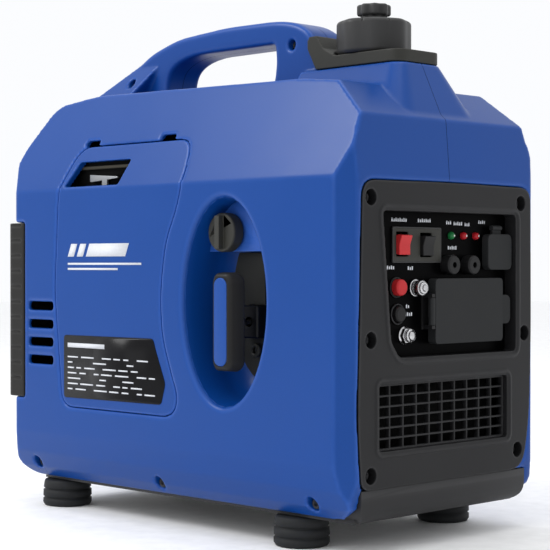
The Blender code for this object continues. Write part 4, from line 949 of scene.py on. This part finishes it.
def strokes():
    """Short plain strokes beside the controls, where a machine has its markings."""
    face = PANEL_X + 0.0002
    rows = [
        (-0.0420, 0.2265, 8), (-0.0150, 0.2265, 7), (0.0120, 0.2255, 3), (0.0225, 0.2250, 5),
        (0.0330, 0.2245, 3), (0.0500, 0.2265, 4), (-0.0510, 0.1935, 4), (-0.0300, 0.1930, 3),
        (-0.0330, 0.1665, 2), (-0.0330, 0.1610, 5), (0.0160, 0.2075, 5),
    ]
    heights = (0.0026, 0.0020, 0.0026, 0.0022)
    wide, step = 0.0013, 0.0021
    boxes = []
    for y, z, count in rows:
        for i in range(count):
            start = y + (i - count / 2) * step
            boxes.append(((face - 0.0001, start, z), (face, start + wide, z + heights[i % 4])))
    finish_piece("panel_marks", blocks(boxes), "housing", "ceramic", paint="print")


def switch_rim():
    """A raised rim round the plate of the two rockers."""
    low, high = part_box("switch_plate")

    def round_plate(grow, radius):
        return rounded((low.y - grow, high.y + grow), (low.z - grow, high.z + grow), radius)

    rim = slab(round_plate(0.0010, 0.0012), "X", low.x, high.x)
    cut(rim, slab(round_plate(-0.0002, 0.0008), "X", 0, 1))
    soften(rim, 0.0003, 2)
    finish_piece("switch_plate_rim", rim, "housing", "grey_plastic", paint="cap_grey")


def lamp_glints():
    """A white point painted in each lamp's lens as a highlight."""
    glint_marks = []
    for name in ("output_lamp", "overload_lamp", "oil_lamp"):
        at = middle(name)
        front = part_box(name)[1].x
        glint_mark = [(0, front - 0.0002), (0.0008, front + 0.0001), (0, front + 0.0003)]
        glint_marks.append(turned(glint_mark, "X", (0, at.y, at.z), 16))
    # The white ceramic points are a painted glint, not a light.
    finish_piece("lamp_cores", merged(glint_marks), "housing", "ceramic")


def disc(radius, low, high):
    """The profile of a plain disc, for turned()."""
    return [(0, low), (radius, low), (radius, high), (0, high)]


def ground_nut():
    """A knurled thumb nut with a collar."""
    at = middle("ground_nut")
    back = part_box("ground_nut")[0].x
    nut = slab(lobed((at.y, at.z), 0.0054, 0.0005, 24, 4), "X", back, back + 0.0055)
    soften(nut, 0.0004, 2, 50)
    profile = [(0.0024, 0), (0.0044, 0), (0.0040, 0.0016), (0.0024, 0.0020)]
    collar = turned(profile, "X", (back + 0.0056, at.y, at.z), 32)
    finish_skin("ground_nut", merged([nut, collar]))


def service_terminal():
    """A stud with a washer, a hexagon and a knurled cap, each standing on the one before."""
    at = middle("service_terminal")
    place = (PANEL_X, at.y, at.z)
    shank = turned(disc(0.0030, -0.010, 0), "X", place, 24)
    washer = turned(disc(0.0064, 0.0003, 0.0011), "X", place, 40)
    six = ellipse((at.y, at.z), (0.0058, 0.0058), 6)
    hexagon = slab(six, "X", PANEL_X + 0.0011, PANEL_X + 0.0041)
    soften(hexagon, 0.0004, 2, 30)
    knurl = slab(lobed((at.y, at.z), 0.0047, 0.0004, 20, 4), "X", PANEL_X + 0.0042, PANEL_X + 0.0070)
    tip = turned([(0, 0.0070), (0.0034, 0.0070), (0.0026, 0.0082), (0, 0.0085)], "X", place, 32)
    finish_skin("service_terminal", merged([washer, hexagon, knurl, tip, shank]))


def button_collars():
    """The rings that the two round buttons stand in."""
    tall = [(0.0074, 0), (0.0074, 0.0008), (0.0068, 0.0014), (0.0061, 0.0008)]
    flat = [(0.0072, 0), (0.0072, 0.0008), (0.0061, 0.0012)]
    rims = (("breaker", "steel", "dark_steel", tall), ("reset", "black_plastic", None, flat))
    for name, slot, paint, rim in rims:
        at = middle(name + "_button")
        ring = turned([(0.0061, 0), *rim], "X", (PANEL_X + 0.0002, at.y, at.z), 40)
        finish_piece(name + "_collar", ring, "housing", slot, paint=paint)


# --- Starter recess ---


def recess_shelf():
    """The blue shelf that the fuel valve's knob stands on, at the top of the recess."""
    under = 0.2062
    radii = (BOWL_R[0] - 0.0016, BOWL_R[1] - 0.0016)
    shelf = slab(ellipse(STARTER, radii, 72), "Y", -0.0868, -0.0845)
    keep(shelf, block((-1, 1), (-1, 1), (under, 1)))
    knob = middle("fuel_valve_knob")
    cut(shelf, rod("Y", (knob.x, 0, knob.z), 0.0060, -0.2, 0))
    soften(shelf, 0.0006, 2, 40)
    finish_piece("recess_shelf", shelf, "housing", "blue_plastic")


def recess_insert():
    """The grey plate behind the grip, with a slot, a screw boss and a hole for the rope guide."""
    outline = eased(
        [
            (0.040, 0.110), (0.066, 0.108), (0.076, 0.126), (0.082, 0.146), (0.083, 0.2055),
            (0.034, 0.2055), (0.034, 0.122),
        ],
        0.006,
    )
    plate = slab(outline, "Y", -0.0652, -0.0618)
    low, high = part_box("rope_guide")
    guide = block((low.x - CLEAR, high.x + CLEAR), (-0.1, 0), (low.z - CLEAR, high.z + CLEAR))
    cut(plate, guide, block((0.072, 0.10), (-0.0660, -0.0640), (0.168, 0.201)))
    profile = [(0.0024, 0), (0.0052, 0), (0.0052, 0.0024), (0.0046, 0.0030), (0.0024, 0.0030)]
    boss = turned(profile, "Y", (0.0660, -0.0675, 0.1340), 36)
    soften(plate, 0.0008, 2, 40)
    finish_piece("recess_insert", merged([plate, boss]), "housing", "grey_plastic", paint="olive_plastic")


GRIP_FRONT_X = 0.0641  # the middle of the grip's narrow front face
GRIP_TAPER = (0.61, 0.97)  # how much of its width and height the front face keeps
INSERT_HALF = (0.0068, 0.0320)


def grip():
    """The pull grip: round ends, a narrow front face and a blue insert in a shallow well."""
    low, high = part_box("starter_grip")
    at = middle("starter_grip")
    body = slab(rounded((low.x, high.x), (low.z, high.z), 0.0085, 8), "Y", low.y, high.y)
    for corner in body.data.vertices:
        if corner.co.y < at.y:
            corner.co.x = GRIP_FRONT_X + (corner.co.x - at.x) * GRIP_TAPER[0]
            corner.co.z = at.z + (corner.co.z - at.z) * GRIP_TAPER[1]
    soften(body, 0.0030, 5, 30)

    def insert_outline(shrink):
        across, up = INSERT_HALF[0] - shrink, INSERT_HALF[1] - shrink
        centre_x, centre_z = GRIP_FRONT_X - 0.0003, at.z
        return rounded(
            (centre_x - across, centre_x + across), (centre_z - up, centre_z + up), 0.0062 - shrink, 8
        )

    cut(body, slab(insert_outline(0), "Y", low.y - 0.01, low.y + 0.0012))
    soften(body, 0.0004, 2, 50)
    finish_skin("starter_grip", body, "grip_black")
    insert_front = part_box("grip_insert")[0].y + 0.0012
    plate = slab(insert_outline(0.0003), "Y", insert_front, low.y + 0.0010)
    soften(plate, 0.0012, 4, 50)
    finish_skin("grip_insert", plate)


STRANDS = 3
STRAND_R = 0.0011
LAY_R = 0.0009
LAY_TURNS = 9


def rope():
    """The laid starter rope, which runs out between its pulley and the grip."""
    low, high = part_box("starter_rope")
    at = middle("starter_rope")
    steps = 120
    bm = bmesh.new()
    for strand in range(STRANDS):
        rings = []
        for i in range(steps + 1):
            along = low.y + (high.y - low.y) * i / steps
            turn = 2 * math.pi * (strand / STRANDS + LAY_TURNS * i / steps)
            centre = (at.x + LAY_R * math.cos(turn), at.z + LAY_R * math.sin(turn))
            ring = ellipse(centre, (STRAND_R, STRAND_R), 8)
            rings.append([bm.verts.new((x, along, z)) for x, z in ring])
        bm.faces.new(rings[0])
        bm.faces.new(list(reversed(rings[-1])))
        for first, second in zip(rings, rings[1:]):
            for k in range(8):
                bm.faces.new((first[k], first[(k + 1) % 8], second[(k + 1) % 8], second[k]))
    bmesh.ops.recalc_face_normals(bm, faces=bm.faces)
    made = from_bmesh(bm)
    made.name = made.data.name = "starter_rope_skin"
    made.data.materials.append(PAINT["rope"])
    made.data.shade_smooth()
    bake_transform(made)
    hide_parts("starter_rope")


# --- Filler, feet, rear ---


CAP_FLATS = 8


def cap():
    """The fuel cap with eight broad flats and a seam between each two."""
    low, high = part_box("fuel_cap")
    body = slab(lobed((FILLER.x, 0), high.x - FILLER.x, 0.0013, CAP_FLATS, 12), "Z", low.z, high.z)
    soften(body, 0.0034, 5, 60)
    under = rod("Z", (FILLER.x, 0, 0), 0.0238, low.z - 0.01, low.z + 0.0078, 48)
    seams = []
    for k in range(CAP_FLATS):
        turn = 2 * math.pi * (k + 0.5) / CAP_FLATS
        seam = block((0.0130, 0.0300), (-0.0004, 0.0004), (high.z - 0.0028, high.z + 0.01))
        seam.data.transform(Matrix.Translation((FILLER.x, 0, 0)) @ Matrix.Rotation(turn, 4, "Z"))
        seams.append(seam)
    cut(body, under, *seams)
    finish_skin("fuel_cap", body, "cap_grey")


def vent_knob():
    """The air vent's knob on its neck, with eight valleys and a shallow dish on top."""
    low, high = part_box("vent_knob")
    top = high.z - 0.0022
    knob = slab(lobed((FILLER.x, 0), 0.0125, 0.0016, 8, 10), "Z", low.z + 0.0034, top)
    soften(knob, 0.0019, 4, 60)
    cut(knob, rod("Z", (FILLER.x, 0, 0), 0.0062, top - 0.0007, top + 0.01, 40))
    profile = [(0, 0), (0.0112, 0), (0.0108, 0.0014), (0.0098, 0.0024), (0.0098, 0.0050), (0, 0.0050)]
    neck = turned(profile, "Z", (FILLER.x, 0, low.z), 48)
    finish_skin("vent_knob", merged([knob, neck]), "cap_grey")


def surround():
    """The plate that the cap stands on, with an upstand that leans back at its rear."""
    low, high = SURROUND_LOW, SURROUND_HIGH
    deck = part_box("fuel_cap")[0].z - 0.0003
    rear = low.x + 0.0080
    plan = [(rear, low.y), (high.x, low.y), (high.x, high.y), (rear, high.y)]
    plate = slab(eased(plan, [0, 0.011, 0.011, 0], 8), "Z", low.z, deck)
    upstand = [
        (low.x, low.z + 0.0155), (rear, low.z + 0.001), (low.x + 0.035, low.z + 0.001),
        (low.x + 0.026, deck + 0.0010), (low.x + 0.0165, deck + 0.0060), (low.x + 0.0095, high.z),
        (low.x + 0.0020, high.z), (low.x, high.z - 0.003),
    ]
    join(plate, slab(upstand, "Y", low.y, high.y))
    cut(
        plate, rod("Z", (FILLER.x, 0, 0), 0.0290, deck, deck + 0.03, 64),
        rod("Z", (FILLER.x, 0, 0), 0.0200, low.z - 0.01, deck + 0.01, 48),
    )
    moulded(plate, 0.0007, 2, 0.35)
    finish_skin("filler_surround", plate, "olive_plastic")


def choke():
    """The flat steel lever whose tab is seen in the window."""
    low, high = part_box("choke_lever")
    outline = [
        (low.x, 0.2622), (low.x + 0.0010, 0.2618), (high.x, 0.2640), (high.x, 0.2652), (low.x, 0.2676),
    ]
    tab = slab(outline, "Y", low.y, high.y)
    shank = block((-0.0810, -0.0750), (low.y, high.y), (low.z, 0.2640))
    join(tab, shank)
    soften(tab, 0.0004, 2, 30)
    finish_skin("choke_lever", tab, "alloy")


def feet():
    """The rubber feet: two grooves, and a hollow underneath."""
    for name in ("foot_front_left", "foot_front_right", "foot_rear_left", "foot_rear_right"):
        low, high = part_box(name)
        radius = (high.x - low.x) / 2
        at = middle(name)
        profile = [
            (0, high.z), (radius - 0.0022, high.z), (radius - 0.0012, high.z - 0.0010),
            (radius - 0.0004, 0.0150), (radius - 0.0014, 0.0144), (radius - 0.0014, 0.0132),
            (radius - 0.0002, 0.0126), (radius, 0.0080), (radius - 0.0010, 0.0074),
            (radius - 0.0010, 0.0062), (radius, 0.0056), (radius, 0.0026), (radius - 0.0012, 0.0006),
            (radius - 0.0030, 0),
            (0.0060, 0), (0.0050, 0.0040), (0, 0.0040),
        ]
        foot = turned(profile, "Z", (at.x, at.y, 0), 56)
        finish_skin(name, foot)


TAILPIPE = (0.048, 0.165)
SLOT_STEP = 0.0125


def louvre():
    """The rear panel: a bent plate with slots, grooves at its edges and a hole for the tailpipe."""
    low, high = LOUVRE_LOW, LOUVRE_HIGH
    eases = [0.004, 0.004, 0, 0, 0.004, 0.004]
    panel = block((low.x - 0.01, high.x), (low.y, high.y), (low.z, high.z))
    keep(panel, slab(eased(rear_outline(), eases), "Z", -1, 1))
    cut(panel, slab(shrunk(rear_outline(), 0.0055), "Z", -1, 1))
    back = REAR_X - 0.02
    slots = []
    z = low.z + 0.010
    while z + 0.0065 < high.z - 0.004:
        if not 0.1500 < z + 0.003 < 0.1800:
            slots.append(((back, -0.070, z), (REAR_X + 0.03, -0.004, z + 0.0055)))
            slots.append(((back, 0.004, z), (REAR_X + 0.03, 0.070, z + 0.0055)))
        z += SLOT_STEP
    cut(panel, blocks(slots), rod("X", (0, *TAILPIPE), 0.0125, -0.3, 0))
    grooves = []
    z = low.z + 0.0135
    while z + 0.003 < high.z:
        for side in (-1, 1):
            for inner, end in ((0.078, low.x + 0.0016), (HALF_W - 0.0014, high.x - 0.004)):
                near, far = sorted((side * inner, side * 0.2))
                grooves.append(((back, near, z), (end, far, z + 0.0030)))
        z += SLOT_STEP
    cut(panel, blocks(grooves))
    moulded(panel, 0.0009, 2, 0.30)
    finish_skin("rear_louvre", panel, "olive_dark")
    # A near-black sheet behind the slots: painted shade for the dark inside.
    shade_backing = block((-0.1800, -0.1788), (-0.1010, 0.1010), (low.z + 0.003, high.z - 0.003))
    finish_piece("louvre_baffle", shade_backing, "housing", "foam")
    profile = [(0.0122, 0), (0.0150, 0), (0.0150, 0.0015), (0.0136, 0.0022), (0.0122, 0.0015)]
    collar = turned(profile, "X", (low.x + 0.0002, *TAILPIPE), 48)
    finish_piece("tailpipe_collar", collar, "housing", "steel", paint="dark_steel")


def rear_outline():
    """The rear panel from above, out to the faces of its ribs."""
    out, half = LOUVRE_LOW.x, HALF_W
    left = [(out, -half + 0.007), (out + 0.0065, -half), (0.1, -half)]
    return left + [(x, -y) for x, y in reversed(left)]


def side_screws():
    heads = []
    for side in (-1, 1):
        for x, z in SIDE_SCREWS:
            heads.append(screw_head("Y", (x, side * (SIDE_SEAT + 0.0015), z), side, 0.0040))
        for x, z in HANDLE_SCREWS:
            heads.append(screw_head("Y", (x, side * (HANDLE_SEAT + 0.0015), z), side, 0.0033))
    finish_piece("case_screws", merged(heads), "housing", "steel", paint="dark_steel")


# --- Door dressing ---


MARK_FACE = -HALF_W + 0.0001
MARK_LEFT = -0.108


def rating_plate():
    """A dark plate with a title bar and rows of plain dashes."""
    corners = [
        (-0.113, 0.0917), (0.0047, 0.0927), (0.0096, 0.1085), (-0.0013, 0.1330), (-0.0044, 0.1415),
        (-0.113, 0.1410),
    ]
    label = slab(eased(corners, 0.003), "Y", MARK_FACE, MARK_FACE + 0.0006)
    finish_piece("rating_plate", label, "door", "black_plastic", paint="label")
    dashes = []
    for row in range(7):
        z = 0.1235 - row * 0.0042
        end = -0.0080 if row < 3 else -0.002
        x = MARK_LEFT
        k = 0
        while x < end - 0.006:
            long = (0.013, 0.008, 0.016, 0.006, 0.011)[(row * 3 + k * 2) % 5]
            if k % 2 == 0 or row % 3 != 1:
                dashes.append(((x, -HALF_W, z), (min(x + long, end), MARK_FACE + 0.0001, z + 0.0011)))
            x += long + (0.004, 0.010, 0.003)[(row + k) % 3]
            k += 1
    title = ((MARK_LEFT, -HALF_W, 0.1315), (-0.062, MARK_FACE + 0.0001, 0.1350))
    return blocks([*dashes, title])


def door_stripes():
    """Three slanted blocks over two thin stripes."""
    made = []
    low, high, slant = 0.2030, 0.2130, 0.0045
    for start, wide in ((MARK_LEFT, 0.0075), (-0.0965, 0.0075), (-0.085, 0.0480)):
        end = start + wide
        outline = [(start, low), (end, low), (end + slant, high), (start + slant, high)]
        made.append(slab(outline, "Y", MARK_FACE, MARK_FACE + 0.0006))
    for wide, z in ((0.0900, 0.1965), (0.0620, 0.1925)):
        made.append(block((MARK_LEFT, MARK_LEFT + wide), (MARK_FACE, MARK_FACE + 0.0006), (z, z + 0.0016)))
    return made


def door_dressing():
    """The rating plate, the stripes above it, the seal seen in the window and a near-black sheet behind the
    window as painted shade.
    """
    finish_piece("door_marks", merged([rating_plate(), *door_stripes()]), "door", "ceramic", paint="print")
    # A near-black sheet behind the window: painted shade for the dark inside.
    shade_backing = slab(rounded((-0.119, -0.034), (0.2440, 0.2850), 0.004), "Y", -0.0905, -0.0890)
    finish_piece("window_baffle", shade_backing, "housing", "foam")
    strip = block((-0.112, -0.042), (-0.0935, -0.0908), (0.2718, 0.2745))
    soften(strip, 0.0008, 2, 40)
    finish_piece("window_seal", strip, "housing", "black_rubber", paint="brown_gasket")


shells()
door()
bezel()
chin()
grille()
strokes()
lamp_glints()
switch_rim()
ground_nut()
service_terminal()
button_collars()
recess_shelf()
recess_insert()
grip()
rope()
cap()
vent_knob()
surround()
choke()
feet()
louvre()
side_screws()
door_dressing()
